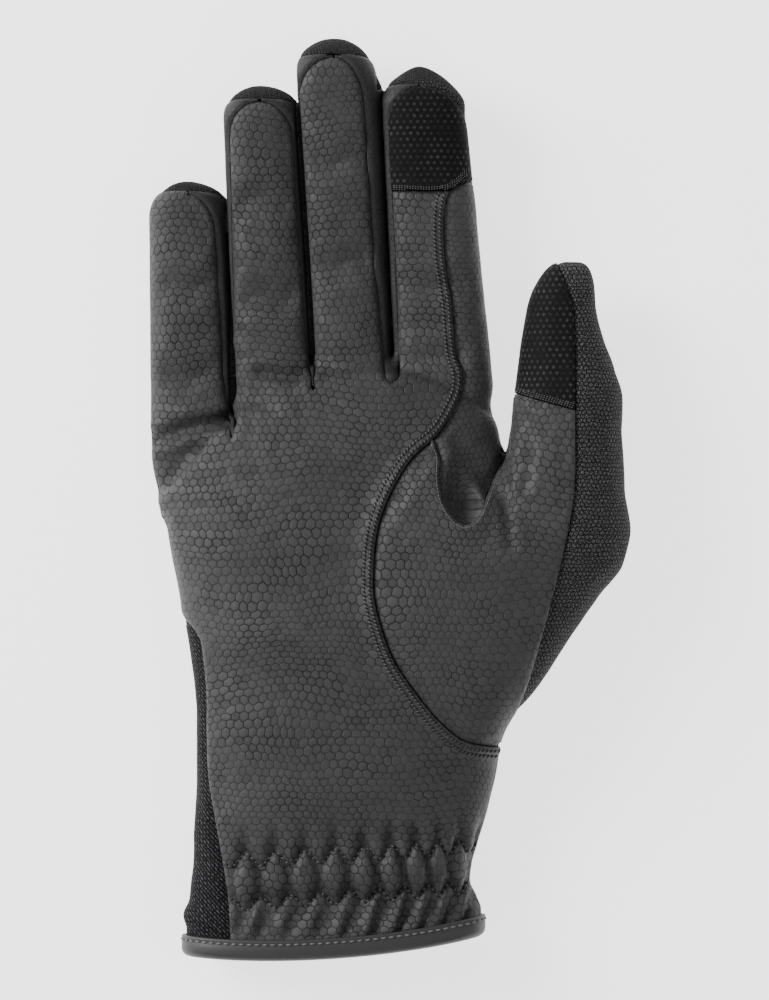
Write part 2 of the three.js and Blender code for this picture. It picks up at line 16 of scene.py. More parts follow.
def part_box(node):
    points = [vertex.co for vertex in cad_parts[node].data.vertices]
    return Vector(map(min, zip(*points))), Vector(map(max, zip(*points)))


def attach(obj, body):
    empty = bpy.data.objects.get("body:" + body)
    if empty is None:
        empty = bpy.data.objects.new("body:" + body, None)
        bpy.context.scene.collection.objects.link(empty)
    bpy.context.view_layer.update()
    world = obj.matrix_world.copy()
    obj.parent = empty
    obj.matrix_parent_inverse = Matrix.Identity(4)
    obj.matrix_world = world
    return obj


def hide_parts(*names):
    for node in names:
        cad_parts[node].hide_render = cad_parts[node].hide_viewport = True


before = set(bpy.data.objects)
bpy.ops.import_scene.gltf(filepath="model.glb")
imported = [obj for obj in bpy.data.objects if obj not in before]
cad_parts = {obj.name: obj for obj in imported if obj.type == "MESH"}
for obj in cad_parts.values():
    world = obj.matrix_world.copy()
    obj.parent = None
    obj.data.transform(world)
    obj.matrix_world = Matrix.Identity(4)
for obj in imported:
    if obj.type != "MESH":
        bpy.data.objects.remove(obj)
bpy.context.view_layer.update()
mm = 0.001  # the work below is in millimetres, and meshes are in metres

# %% [markdown]
# ## The tables that shape the glove
# A glove has no simple outline, so the hand, the thumb and its ball are each a short table of
# sections, and a finger is one row of sizes. The numbers are those of the CAD source, measured
# from the middle of the hem, so that the soft panels lie where the solids are. Only the dent at
# the thumb's crotch is shallower here, and the fingers are a little fuller.

# %% Sizes of the hand, fingers and thumb
palm_length, palm_depth, half = 153.0, 26.0, 44.0  # half of the palm's width
wall, seam_gap = 1.4, 0.3  # the CAD skin's thickness, and the hairline between two panels
split_height, split_drop, tip_lift = 9.5, 3.0, 6.0  # where front meets back, and the tips' rise
curl_start, curl_span = 0.85, 0.7  # in palm lengths: where the fingers lift off the floor
knuckle_slant, knuckle_arch, hem_slant, hem_arch = 13.0, 24.2, 2.4, 3.5
thumb_start, thumb_length, thumb_lean = (41.0, 52.0), 128.7, 23.5
thumb_width, thumb_depth, thumb_split_rise = 27.0, 19.0, 5.0
hand_power, finger_power, thumb_power = 2.6, 2.6, 2.3  # how square a section is: 2 is an oval
finger_flat, finger_root, finger_swell = 1.2, 15.0, 0.5  # pressed flat, inside the hand, fuller
finger_gap, gap_bow, bow_tall = 1.1, 2.4, 2.6  # the gap bows to the right half way down
root_shrink = 0.25  # how much thinner a finger gets inside the hand
web_length, gusset_notch = 0.5, 5.0  # the web between two fingers, and the gusset's point
far = 300.0  # well outside the glove


def table(names, rows):
    """The columns of a table, by name."""
    return dict(zip(names.split(), np.array(rows, float).T))


# Shares of palm_length along, of half the palm left and right, of palm_depth top and bottom
hand = table("along bend left right top bottom", [
    (0, 0, -0.79, 0.95, 0.84, 0.05),
    (0.045, 0, -0.79, 0.95, 0.84, 0.05),
    (0.07, 0.01, -0.81, 0.925, 0.85, 0.03),
    (0.1, 0.02, -0.775, 0.885, 0.82, 0),
    (0.13, 0.03, -0.765, 0.895, 0.86, -0.02),
    (0.165, 0.04, -0.75, 0.93, 0.88, -0.03),
    (0.222, 0.05, -0.745, 0.99, 0.93, -0.046),
    (0.327, 0.08, -0.73, 1.06, 0.98, -0.046),
    (0.431, 0.12, -0.73, 1.07, 1, -0.046),
    (0.549, 0.2, -0.77, 1.08, 1, -0.046),
    (0.667, 0.3, -0.825, 1.09, 0.98, -0.046),
    (0.771, 0.42, -0.88, 1.1, 0.96, -0.046),
    (0.863, 0.57, -0.91, 1.1, 0.91, -0.046),
    (0.935, 0.74, -0.95, 1.065, 0.83, -0.046),
    (0.98, 0.9, -0.97, 1.045, 0.72, -0.046),
    (1, 1, -0.975, 1.03, 0.58, -0.046),
    (1.25, 1, -0.975, 1.03, 0.4, -0.046),
])
# Half widths at the root and tip, depth, the knit's reach over the tip, the tip's rounding, the
# edges of the palm's strip as shares of the half width, at the tip and at the root, and how
# full the tip is: 2 is round, less is pointed
finger_columns = "at lean length root tip depth cap round left right left_root right_root full"
finger_table = table(finger_columns, [
    (-0.75, -1.9, 72, 10.5, 9.1, 13.5, 2.4, 9.4, 4, 0.8, 4, 0.98, 2),
    (-0.281, -3.6, 79, 10.6, 9.6, 15, 3.4, 9, 0.86, 0.88, 1, 0.97, 1.8),
    (0.187, -4.9, 84, 10, 10.9, 16, 4.2, 11.7, 0.95, 0.68, 1, 0.86, 2),
    (0.722, -6.1, 82, 12.8, 10.5, 16, 5, 10, 0.84, 1.05, 0.88, 1.05, 1.5),
])
fingers = [{key: float(column[i]) for key, column in finger_table.items()} for i in range(4)]
little, ring, middle, index = fingers
neighbours = [(little, ring), (ring, middle), (middle, index)]
creases = [0.3, 0.62]  # the joints, as shares of a finger's length
thumb = table("along left right top bottom", [
    (0, -0.19, 0.1, 0.95, 0.3),
    (0.054, -0.31, 0.2, 1.12, 0.1),
    (0.135, -0.45, 0.44, 1.24, 0),
    (0.206, -0.55, 0.6, 1.32, -0.06),
    (0.327, -0.62, 0.885, 1.38, -0.06),
    (0.388, -0.6, 1.05, 1.4, -0.06),
    (0.448, -0.5, 1.08, 1.4, -0.06),
    (0.539, -0.38, 0.95, 1.38, -0.02),
    (0.6, -0.25, 0.885, 1.36, 0.04),
    (0.66, -0.244, 0.807, 1.34, 0.1),
    (0.721, -0.278, 0.774, 1.32, 0.14),
    (0.782, -0.293, 0.64, 1.29, 0.2),
    (0.842, -0.307, 0.474, 1.25, 0.28),
    (0.903, -0.31, 0.355, 1.2, 0.35),
    (0.933, -0.296, 0.32, 1.16, 0.4),
    (0.963, -0.248, 0.274, 1.08, 0.47),
    (1, -0.15, 0.19, 0.94, 0.58),
])
ball = table("along left right top bottom", [
    (0.026, -0.28, 0.1, 1.2, 0.6),
    (0.073, -0.56, 0.14, 1.34, 0.6),
    (0.129, -0.82, 0.185, 1.42, 0.6),
    (0.198, -1.1, 0.27, 1.48, 0.6),
    (0.269, -1.29, 0.36, 1.53, 0.6),
    (0.329, -1.4, 0.42, 1.55, 0.6),
    (0.392, -1.46, 0.44, 1.55, 0.6),
    (0.448, -1.48, 0.24, 1.53, 0.6),
    (0.509, -1.45, -0.2, 1.48, 0.6),
    (0.57, -1.36, -0.62, 1.4, 0.6),
    (0.61, -1.24, -0.76, 1.28, 0.6),
    (0.645, -1.08, -0.87, 1.1, 0.6),
])
crotch_dent = {"along": 0.57, "across": -0.6, "x": 5.5, "y": 11.0, "z": 7.0, "top": 1.55}
print(len(hand["along"]), "sections of the hand,", len(thumb["along"]), "of the thumb")

# %% Places on the glove


def between(values, slope, step, i, t):
    """A smooth way from value i to value i + 1, with a given slope at each."""
    start = values[i] * (1 + 2 * t) + slope[i] * step * t
    end = values[i + 1] * (3 - 2 * t) - slope[i + 1] * step * (1 - t)
    return start * (1 - t) ** 2 + end * t**2


def curve(stations, values, at):
    """A smooth line through a table's column that never runs past its values."""
    step, rise = np.diff(stations), np.diff(values) / np.diff(stations)
    turn = rise[1:] * rise[:-1]
    mean = np.where(turn > 0, 2 * turn / np.where(turn > 0, rise[1:] + rise[:-1], 1), 0)
    slope = np.concatenate([[rise[0]], mean, [rise[-1]]])
    at = np.clip(at, stations[0], stations[-1])
    i = np.clip(np.searchsorted(stations, at, side="right") - 1, 0, len(step) - 1)
    return between(values, slope, step[i], i, (at - stations[i]) / step[i])


def ramp(x, low, high):
    """From 0 at low to 1 at high, smoothly."""
    t = np.clip((x - low) / (high - low), 0, 1)
    return t * t * (3 - 2 * t)


def bell(x, width):
    """1 at 0, and falling softly to both sides."""
    return np.exp(-((x / width) ** 2))


def knuckle_at(x):
    """How far beyond palm_length the fingers start."""
    return knuckle_slant * (x / half) - knuckle_arch * (x / half) ** 2


def hem_at(x):
    """The hem's curved line in plan."""
    return hem_slant * (x / half) + hem_arch * (x / half) ** 2


def curl_at(y):
    """How far the fingers lift off the floor towards their tips."""
    return tip_lift * (np.maximum(0, y / palm_length - curl_start) / curl_span) ** 2


def split_at(y):
    """The height at which the palm's leather meets the knit of the back."""
    return split_height - split_drop * ramp(y / palm_length, 0.7, 1) + curl_at(y)


def along_thumb(y):
    return (y - thumb_start[1]) / thumb_length


def thumb_split_at(y):
    """The height at which the thumb's leather meets its knit."""
    return split_height + thumb_split_rise * ramp(along_thumb(y), 0.4, 0.9)


def on_thumb(along, across):
    """The place in plan that is a share along the thumb and a share of its width across."""
    x = thumb_start[0] + along * thumb_lean + across * thumb_width
    return x, thumb_start[1] + along * thumb_length


def root_of(f):
    """The middle of a finger's root in plan."""
    x = f["at"] * half
    return x, palm_length + knuckle_at(x)


def along_finger(f, y):
    return (y - root_of(f)[1]) / f["length"]


def on_finger(f, along, across):
    """The place in plan that is a share along a finger and a share of its half width across."""
    x, y = root_of(f)
    width = f["root"] + (f["tip"] - f["root"]) * np.maximum(0, along)
    return x + f["lean"] * along + across * width, y + along * f["length"]


def core_height(f, y):
    """The height of a finger's widest place above the floor."""
    return curl_at(y) + (f["depth"] - finger_flat) / 2


binding_low, binding_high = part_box("cuff_binding")
hem_lowest = min(hem_at(x) for x in np.linspace(-half, half, 400))
shift = np.array([
    (hand["left"][0] + hand["right"][0]) * half / 2 - (binding_low.x + binding_high.x) / 2 / mm,
    hem_lowest - binding_low.y / mm,
    0.0,
])
print("the row's frame starts at", shift.round(2), "mm on the glove")

# %% [markdown]
# ## One soft skin round the whole hand
# A filled glove is round everywhere: fingers melt into the hand, and the ball of the thumb
# swells out of the palm. Rings of points can't melt into each other, but distances can. Each
# form is a function that says how far a point is outside it, the functions are blended where
# they meet, and a mesh is drawn where the blend is zero.

# %% The distance to an oval, and how two distances melt together


def oval_distance(dx, dz, a, b, power, w=0.0, w_size=1.0, full=2.0):
    """How far a point is outside a squared oval of half sizes a and b. w closes its end."""
    u, v = np.abs(dx) / a, np.abs(dz) / b
    f = np.maximum((u**power + v**power) ** (1 / power), 0.05)
    slope = (f ** (1 - power) * u ** (power - 1) / a) ** 2
    slope = slope + (f ** (1 - power) * v ** (power - 1) / b) ** 2
    whole = (f**full + w**full) ** (1 / full)  # its value over its slope is a length
    slope = slope * (f / whole) ** (2 * full - 2) + ((w / whole) ** (full - 1) / w_size) ** 2
    return (whole - 1) / np.sqrt(np.maximum(slope, 1e-8))


def blend(a, b, k):
    """The nearer of two distances, rounded where they meet."""
    h = np.maximum(k - np.abs(a - b), 0) / k
    return np.minimum(a, b) - h * h * k / 4


def hand_share(x, y):
    """How far along the hand's table a point is."""
    lines_x = np.linspace(-66, 90, 157)  # a fine chart of the glove in plan, to look it up in
    hem = palm_length * hand["along"][:, None] + (1 - hand["bend"])[:, None] * hem_at(lines_x)
    hem = hem + hand["bend"][:, None] * knuckle_at(lines_x)
    fine = np.linspace(-20, 190, 421)
    shares = np.array([np.interp(fine, column, hand["along"]) for column in hem.T])
    i = np.clip((x - lines_x[0]) / (lines_x[1] - lines_x[0]), 0, len(lines_x) - 1.001)
    j = np.clip((y - fine[0]) / (fine[1] - fine[0]), 0, len(fine) - 1.001)
    i, j = np.broadcast_arrays(i, j)
    a, b = i.astype(int), j.astype(int)
    s, t = i - a, j - b
    low = shares[a, b] * (1 - s) + shares[a + 1, b] * s
    high = shares[a, b + 1] * (1 - s) + shares[a + 1, b + 1] * s
    return low * (1 - t) + high * t


print("half way up, the palm's table stands at", np.round(hand_share(0.0, palm_length / 2), 2))

# %% Distances to the hand, the fingers and the thumb
end_slope, end_blend = 0.8, 3.0  # a form's end counts a little less than its side, and is round


def edges_at(rows, share, width, depth):
    """The left, right, top and bottom of a form at a share of its way along."""
    sizes = {"left": width, "right": width, "top": depth, "bottom": depth}
    return [curve(rows["along"], rows[side], share) * size for side, size in sizes.items()]


def hand_form(x, y, z):
    """How far a point is outside the hand, which ends at the web between the fingers."""
    left, right, top, bottom = edges_at(hand, hand_share(x, y), half, palm_depth)
    reach = np.where(z > split_height, top - split_height, split_height - bottom)
    d = oval_distance(x - (left + right) / 2, z - split_height, (right - left) / 2, reach, hand_power)
    return -blend(-d, (palm_length + knuckle_at(x) + web_length - y) * end_slope, end_blend)


def bow_at(f, y, z):
    """How far the gap beside a finger bows to the right, so that no light falls through it."""
    return gap_bow * bell(z - core_height(f, y), bow_tall)


def finger_form(f, x, y, z):
    """How far a point is outside a finger. Its right side swells towards the next finger."""
    along = along_finger(f, y)
    middle_x, _ = on_finger(f, along, 0.0)
    thin = 1 - root_shrink * ramp(-along * f["length"], 0, finger_root)
    width = (on_finger(f, along, 1.0)[0] - middle_x + finger_swell) * thin
    deep = f["depth"] / 2 * thin
    w = np.maximum(0, along - (1 - f["round"] / f["length"])) / (f["round"] / f["length"])
    for a, b in neighbours:
        if f is a:
            tip = root_of(b)[1] + b["length"]
            swell = (0.5 + bow_at(f, y, z)) * (1 - ramp(y, tip - 12, tip - 2)) * ramp(along, 0, 0.1)
            width = width + np.where(x > middle_x, swell, 0)
    d = oval_distance(
        x - middle_x, z - core_height(f, y), width, deep, finger_power, w, f["round"], f["full"]
    )
    return np.maximum(d, (-finger_root - along * f["length"]) * end_slope)


def gap_middle(a, b, y):
    """The line in plan half way between two fingers."""
    right_of_a, _ = on_finger(a, along_finger(a, y), 1.0)
    left_of_b, _ = on_finger(b, along_finger(b, y), -1.0)
    return (right_of_a + left_of_b) / 2


def beside_gap(a, b, f, x, y, z):
    """How far a point is past the side that a finger keeps to, above the web."""
    line = gap_middle(a, b, y)
    web = palm_length + knuckle_at(line) + web_length
    line = line + bow_at(a, y, z)
    past = x - line if f is a else line - x
    return np.minimum(past + finger_gap / 2, (y - web) * end_slope)


def thumb_form(rows, x, y, z):
    """How far a point is outside the thumb or its ball."""
    along = along_thumb(y)
    left, right, top, bottom = edges_at(rows, along, thumb_width, thumb_depth)
    middle_x = thumb_start[0] + along * thumb_lean
    d = oval_distance(
        x - middle_x - (left + right) / 2, z - (top + bottom) / 2,
        (right - left) / 2, (top - bottom) / 2, thumb_power,
    )
    past = np.maximum(along - rows["along"][-1], rows["along"][0] - along) * thumb_length
    return -blend(-d, -past, end_blend)


def dent_form(x, y, z):
    """How far a point is outside the dent at the thumb's crotch."""
    cx, cy = on_thumb(crotch_dent["along"], crotch_dent["across"])
    u, v = (x - cx) / crotch_dent["x"], (y - cy) / crotch_dent["y"]
    w = (z - crotch_dent["top"] * thumb_depth) / crotch_dent["z"]
    return (np.sqrt(u * u + v * v + w * w) - 1) * crotch_dent["x"]


above_palm = hand_form(0.0, palm_length / 2, 30.0)
print("a point 30 mm up is", np.round(above_palm, 1), "mm above the middle of the palm")

# %% The blended glove
finger_blend, thumb_blend, ball_blend = 3.0, 3.0, 5.0  # how widely each melts into the hand
gap_blend, dent_blend, floor_blend = 0.5, 2.0, 1.0


def glove_form(x, y, z):
    """How far a point is outside the glove, the whole of it blended together."""
    near = []
    for f in fingers:
        d = finger_form(f, x, y, z)
        for a, b in neighbours:
            if f is a or f is b:
                d = -blend(-d, -beside_gap(a, b, f, x, y, z), gap_blend)
        near.append(d)
    d = blend(hand_form(x, y, z), np.minimum.reduce(near), finger_blend)
    d = blend(d, thumb_form(thumb, x, y, z), thumb_blend)
    d = blend(d, thumb_form(ball, x, y, z), ball_blend)
    d = -blend(-d, dent_form(x, y, z), dent_blend)
    return -blend(-d, z, floor_blend)


heights = np.linspace(0, 32, 321)
filled = heights[glove_form(0 * heights, palm_length / 2 + 0 * heights, heights) < 0]
print("at the palm's middle the glove is", filled.max().round(1), "mm tall")

# %% [markdown]
# ## From distances to a mesh
# The distance is worked out on a fine grid. Every cell that the skin passes through gets one
# point, in the middle of the places where it crosses the cell's edges, and the points of
# neighbouring cells are joined. Then the points slide down the distance's slope onto the skin
# itself, which leaves no trace of the grid.

# %% Draw the skin where the distance is zero
corners = np.array([(i, j, k) for i in (0, 1) for j in (0, 1) for k in (0, 1)])
cell_edges = [
    (a, b) for a in range(8) for b in range(a + 1, 8) if np.abs(corners[a] - corners[b]).sum() == 1
]
grid_low, grid_high = np.array([-46.0, -4.0, -2.0]), np.array([83.0, 241.0, 32.0])
slab = 24  # rows of the grid that are worked out at a time


def distance_grid(cell):
    """The glove's distance on a grid of points."""
    counts = np.ceil((grid_high - grid_low) / cell).astype(int)
    xs, ys, zs = (grid_low[a] + cell * np.arange(counts[a]) for a in range(3))
    field = np.empty(counts, np.float32)
    for start in range(0, counts[1], slab):
        part = ys[start : start + slab]
        field[:, start : start + slab] = glove_form(
            xs[:, None, None], part[None, :, None], zs[None, None, :]
        )
    return field


def crossed_cells(field):
    """The middle of the skin in every cell that it crosses, and a grid of those cells' numbers."""
    inside = field < 0
    size = np.array(inside.shape) - 1
    count = sum(
        inside[i : size[0] + i, j : size[1] + j, k : size[2] + k].astype(np.int8)
        for i, j, k in corners
    )
    active = (count > 0) & (count < 8)
    number = np.full(active.shape, -1, np.int32)
    cells = np.argwhere(active)
    number[active] = np.arange(len(cells))
    values = np.stack([field[tuple((cells + c).T)] for c in corners], 1)
    total, hits = np.zeros((len(cells), 3)), np.zeros(len(cells))
    for a, b in cell_edges:
        fa, fb = values[:, a], values[:, b]
        crossed = (fa < 0) != (fb < 0)
        t = np.where(crossed, fa / np.where(crossed, fa - fb, 1), 0)
        spot = corners[a] + (corners[b] - corners[a]) * t[:, None]
        total += np.where(crossed[:, None], spot, 0)
        hits += crossed
    return cells + total / hits[:, None], number


def joined_cells(inside, number):
    """Squares between the four cells round each step of the grid that leaves the glove."""
    quads = []
    for axis in range(3):
        u, v = (axis + 1) % 3, (axis + 2) % 3
        lower, upper = [slice(1, -1)] * 3, [slice(1, -1)] * 3
        lower[axis], upper[axis] = slice(0, -1), slice(1, None)
        a, b = inside[tuple(lower)], inside[tuple(upper)]
        steps = np.argwhere(a != b)
        around = []
        for du, dv in ((0, 0), (1, 0), (1, 1), (0, 1)):
            cell = steps.copy()
            cell[:, u] += du
            cell[:, v] += dv
            around.append(number[tuple(cell.T)])
        quad = np.stack(around, 1)
        quads.append(np.where(a[tuple(steps.T)][:, None], quad, quad[:, ::-1]))
    quads = np.concatenate(quads)
    return quads[(quads >= 0).all(1)]


def draw_skin(cell):
    """Points and triangles of the skin, on a grid of cells of a given size."""
    field = distance_grid(cell)
    middles, number = crossed_cells(field)
    points = grid_low + cell * middles
    quads = joined_cells(field < 0, number)
    first = np.linalg.norm(points[quads[:, 0]] - points[quads[:, 2]], axis=1)
    second = np.linalg.norm(points[quads[:, 1]] - points[quads[:, 3]], axis=1)
    shorter = (first < second)[:, None]  # each square is cut along its shorter diagonal
    one = np.where(shorter, quads[:, [0, 1, 2]], quads[:, [0, 1, 3]])
    two = np.where(shorter, quads[:, [0, 2, 3]], quads[:, [1, 2, 3]])
    return points, np.concatenate([one, two])


def slope_of(points, step=0.15):
    """The glove's distance and its slope at points."""
    x, y, z = points.T
    d = glove_form(x, y, z)
    slope = np.stack([
        glove_form(x + step, y, z) - glove_form(x - step, y, z),
        glove_form(x, y + step, z) - glove_form(x, y - step, z),
        glove_form(x, y, z + step) - glove_form(x, y, z - step),
    ], 1) / (2 * step)
    return d, slope


def settle(points, turns=2):
    """Points moved onto the skin, and the skin's outward directions there."""
    for _ in range(turns):
        d, slope = slope_of(points)
        length = np.maximum((slope**2).sum(1), 0.2)
        points = points - np.clip(d / length, -0.5, 0.5)[:, None] * slope
    slope = slope_of(points)[1]
    return points, slope / np.maximum(np.linalg.norm(slope, axis=1), 1e-6)[:, None]


fine_cell, plain_cell = ((0.68, 1.0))
skins = {}
for fineness, cell in (("fine", fine_cell), ("plain", plain_cell)):
    drawn, faces = draw_skin(cell)
    spots, outward = settle(drawn)
    skins[fineness] = {"points": spots, "outward": outward, "faces": faces}
    print(fineness, "skin:", len(spots), "points,", len(faces), "triangles")

# %% [markdown]
# ## Seams
# A glove is cut into panels by lines that run over it: straight ones along the fingers, an arch
# over each fingertip and one long curve round the ball of the thumb. Every seam is a smooth line
# in plan with a side to it, and every panel is what lies on the right sides of its seams, so the
# same few lines cut the skin, sink the seams and guide the threads.

# %% Lines of the seams
ball_seam = [
    (0.655, -0.94), (0.61, -1.14), (0.57, -1.245), (0.509, -1.337), (0.448, -1.367),
    (0.392, -1.344), (0.329, -1.289), (0.269, -1.174), (0.198, -0.985), (0.129, -0.704),
    (0.073, -0.433), (0.03, -0.12), (0.018, 0.4),
]
crotch_seam = [
    (0.67, -1.1), (0.61, -0.904), (0.566, -0.867), (0.521, -0.798), (0.487, -0.68),
    (0.4685, -0.541), (0.481, -0.444), (0.507, -0.4), (0.566, -0.337), (0.616, -0.263),
    (0.66, -0.293), (0.741, -0.393), (0.923, -0.54), (1.1, -0.5),
]
back_thumb_seam = [
    (1.1, -0.5), (0.923, -0.54), (0.741, -0.393), (0.629, -0.266), (0.528, -0.311),
    (0.404, -0.352), (0.264, -0.285), (0.14, -0.122), (0.06, 0.05), (0.018, 0.4),
]
thumb_knit_seam = [
    (1.1, -0.3), (1, -0.115), (0.957, 0), (0.915, 0.104), (0.869, 0.163), (0.792, 0.237),
    (0.681, 0.333), (0.519, 0.456), (0.317, 0.422), (0.135, 0.337), (0.02, 0.196), (-0.08, 0.1),
]
thumb_touch_seam = [(0.81, -1.2), (0.733, -0.27), (0.699, 0.32), (0.65, 1.2)]
index_seam = [
    (0.68, 1.9), (0.635, 0.9), (0.582, 0.417), (0.413, 0.254), (0.255, 0.32), (0.08, 0.33),
    (0.027, 0.426), (-0.046, 0.34),
]
index_touch_seam = [(0.6, -4), (0.6, 0.417), (0.68, 1.9)]
wrist_seam = [
    (0.62, -1), (0.571, -0.786), (0.544, -0.709), (0.505, -0.686), (0.45, -0.668),
    (0.388, -0.668), (0.309, -0.657), (0.233, -0.614), (0.158, -0.568), (0.1, -0.539),
    (0.029, -0.525), (-0.08, -0.51),
]

# %% Smooth lines, and the side on which a point lies


def lengths_along(line):
    """The way along a line to each of its points."""
    return np.concatenate([[0], np.cumsum(np.linalg.norm(np.diff(line, axis=0), axis=1))])


def softened(line, pitch=2.0):
    """A line through points, curved smoothly and cut into short steps."""
    line = np.array(line, float)
    length = lengths_along(line)
    at = np.linspace(0, length[-1], max(2, int(length[-1] / pitch)))
    ends = np.vstack([2 * line[0] - line[1], line, 2 * line[-1] - line[-2]])
    span = np.concatenate([
        [2 * (length[1] - length[0])], length[2:] - length[:-2], [2 * (length[-1] - length[-2])],
    ])
    slope = (ends[2:] - ends[:-2]) / np.maximum(span, 1e-6)[:, None]
    i = np.clip(np.searchsorted(length, at, side="right") - 1, 0, len(line) - 2)
    step = (length[i + 1] - length[i])[:, None]
    return between(line, slope, step, i, (at - length[i])[:, None] / step)


def line_distance(line, p):
    """The distance of points from a line in plan."""
    best = np.full(len(p), 1e9)
    for a, b in zip(line[:-1], line[1:]):
        way = b - a
        t = np.clip(((p - a) @ way) / max(way @ way, 1e-12), 0, 1)
        off = p - a - t[:, None] * way
        best = np.minimum(best, off[:, 0] ** 2 + off[:, 1] ** 2)
    return np.sqrt(best)


def within(outline, p):
    """Whether points are inside an outline in plan."""
    hit = np.zeros(len(p), bool)
    for a, b in zip(outline, np.roll(outline, -1, axis=0)):
        crosses = (a[1] > p[:, 1]) != (b[1] > p[:, 1])
        rise = b[1] - a[1]
        x = a[0] + (p[:, 1] - a[1]) / (rise if abs(rise) > 1e-12 else 1e-12) * (b[0] - a[0])
        hit ^= crosses & (p[:, 0] < x)
    return hit


def side_of(line, ends, p):
    """The distance of points from a seam, positive on the side that reaches the ends."""
    d = line_distance(line, p)
    return np.where(within(np.array([*line, *ends]), p), d, -d)


def thumb_line(points):
    return [on_thumb(*p) for p in points]


palm_edge = softened([on_finger(index, *p) for p in index_seam] + thumb_line(ball_seam))
crotch = softened(thumb_line(crotch_seam))
back_thumb = softened(thumb_line(back_thumb_seam))
thumb_knit = softened(thumb_line(thumb_knit_seam))
thumb_patch = softened(thumb_line(thumb_touch_seam))
index_patch = np.array([on_finger(index, *p) for p in index_touch_seam])
wrist = softened([(across * half, along * palm_length) for along, across in wrist_seam])
print("the palm's edge is", round(lengths_along(palm_edge)[-1]), "mm long")

# %% [markdown]
# ## Strips, gussets and tips
# On the palm side each finger shows a leather strip that closes in an arch, a narrow gusset
# beside it, and knit that comes over the tip from the back. In plan these are outlines, and the
# distance from an outline says how far inside its piece a point lies.

# %% The strips of the fingers and the ends of the knit
arch_gap, arch_tall = 0.01, 1.1  # shares of a finger's length, and of its tip's rounding
tip_bow = 1.6  # how far the knit's edge comes down at both sides of a fingertip


def strip_outline(f):
    """The palm's strip on a finger: straight edges that close in an arch at the tip."""
    top, rise = 1 - f["cap"] / f["length"] - arch_gap, f["round"] * arch_tall / f["length"]
    arch = [
        (top - rise + rise * math.sin(turn), math.cos(turn))
        for turn in np.linspace(0, math.pi / 2, 9)
    ]
    low, root, bend = -0.6, 0.05, 0.3  # shares of the length where the edge changes its way
    edges = []
    for side, sign in (("right", 1), ("left", -1)):
        at_root = sign * f[side + "_root"]
        edge = [on_finger(f, low, at_root), on_finger(f, root, at_root)]
        edge.append(on_finger(f, bend, sign * (f[side] * 2 + f[side + "_root"]) / 3))
        edges.append(edge + [on_finger(f, along, sign * f[side] * share) for along, share in arch])
    return np.array(edges[0] + edges[1][-2::-1])


def strip_side(f, p):
    """The distance of points from a strip's edge, positive inside it."""
    return side_of(strip_outline(f), [], p)


def tip_side(f, p):
    """Positive beyond the line where the knit comes over a fingertip."""
    x, y = on_finger(f, 1.0, 0.0)
    bow = tip_bow * ((p[:, 0] - x) / f["tip"]) ** 4
    past = p[:, 1] - (y - f["cap"] - bow)
    for a, b in neighbours:
        line = gap_middle(a, b, p[:, 1])
        if f is a:
            past = np.minimum(past, line - p[:, 0])
        if f is b:
            past = np.minimum(past, p[:, 0] - line)
    return past


def index_corner(p):
    """Positive in the outer corner of the index finger's tip."""
    x, _ = on_finger(index, 1.0, 0.0)
    _, low = on_finger(index, 1 - 1.7 * index["round"] / index["length"], 1.3)
    box = np.minimum(p[:, 0] - x, p[:, 1] - low)
    return np.minimum(box, -strip_side(index, p))


def gusset_space(a, b, p):
    """Positive between the middle lines of two fingers."""
    x = (on_finger(a, 0.0, 1.0)[0] + on_finger(b, 0.0, -1.0)[0]) / 2
    y = palm_length + knuckle_at(x)
    outline = np.array([
        (root_of(a)[0], y + gusset_notch), (x, y - gusset_notch), (root_of(b)[0], y + gusset_notch),
        on_finger(b, 1.2, 0.0), on_finger(a, 1.2, 0.0),
    ])
    return side_of(outline, [], p)


print("a strip's outline has", len(strip_outline(ring)), "points")

# %% Which panel each point belongs to
wrist_reach = 95.0  # how far up the little finger's side the wrist's knit can reach


def both(*sides):
    """How far inside all of these a point is."""
    return np.minimum.reduce(sides)


def either(*sides):
    """How far inside any of these a point is."""
    return np.maximum.reduce(sides)


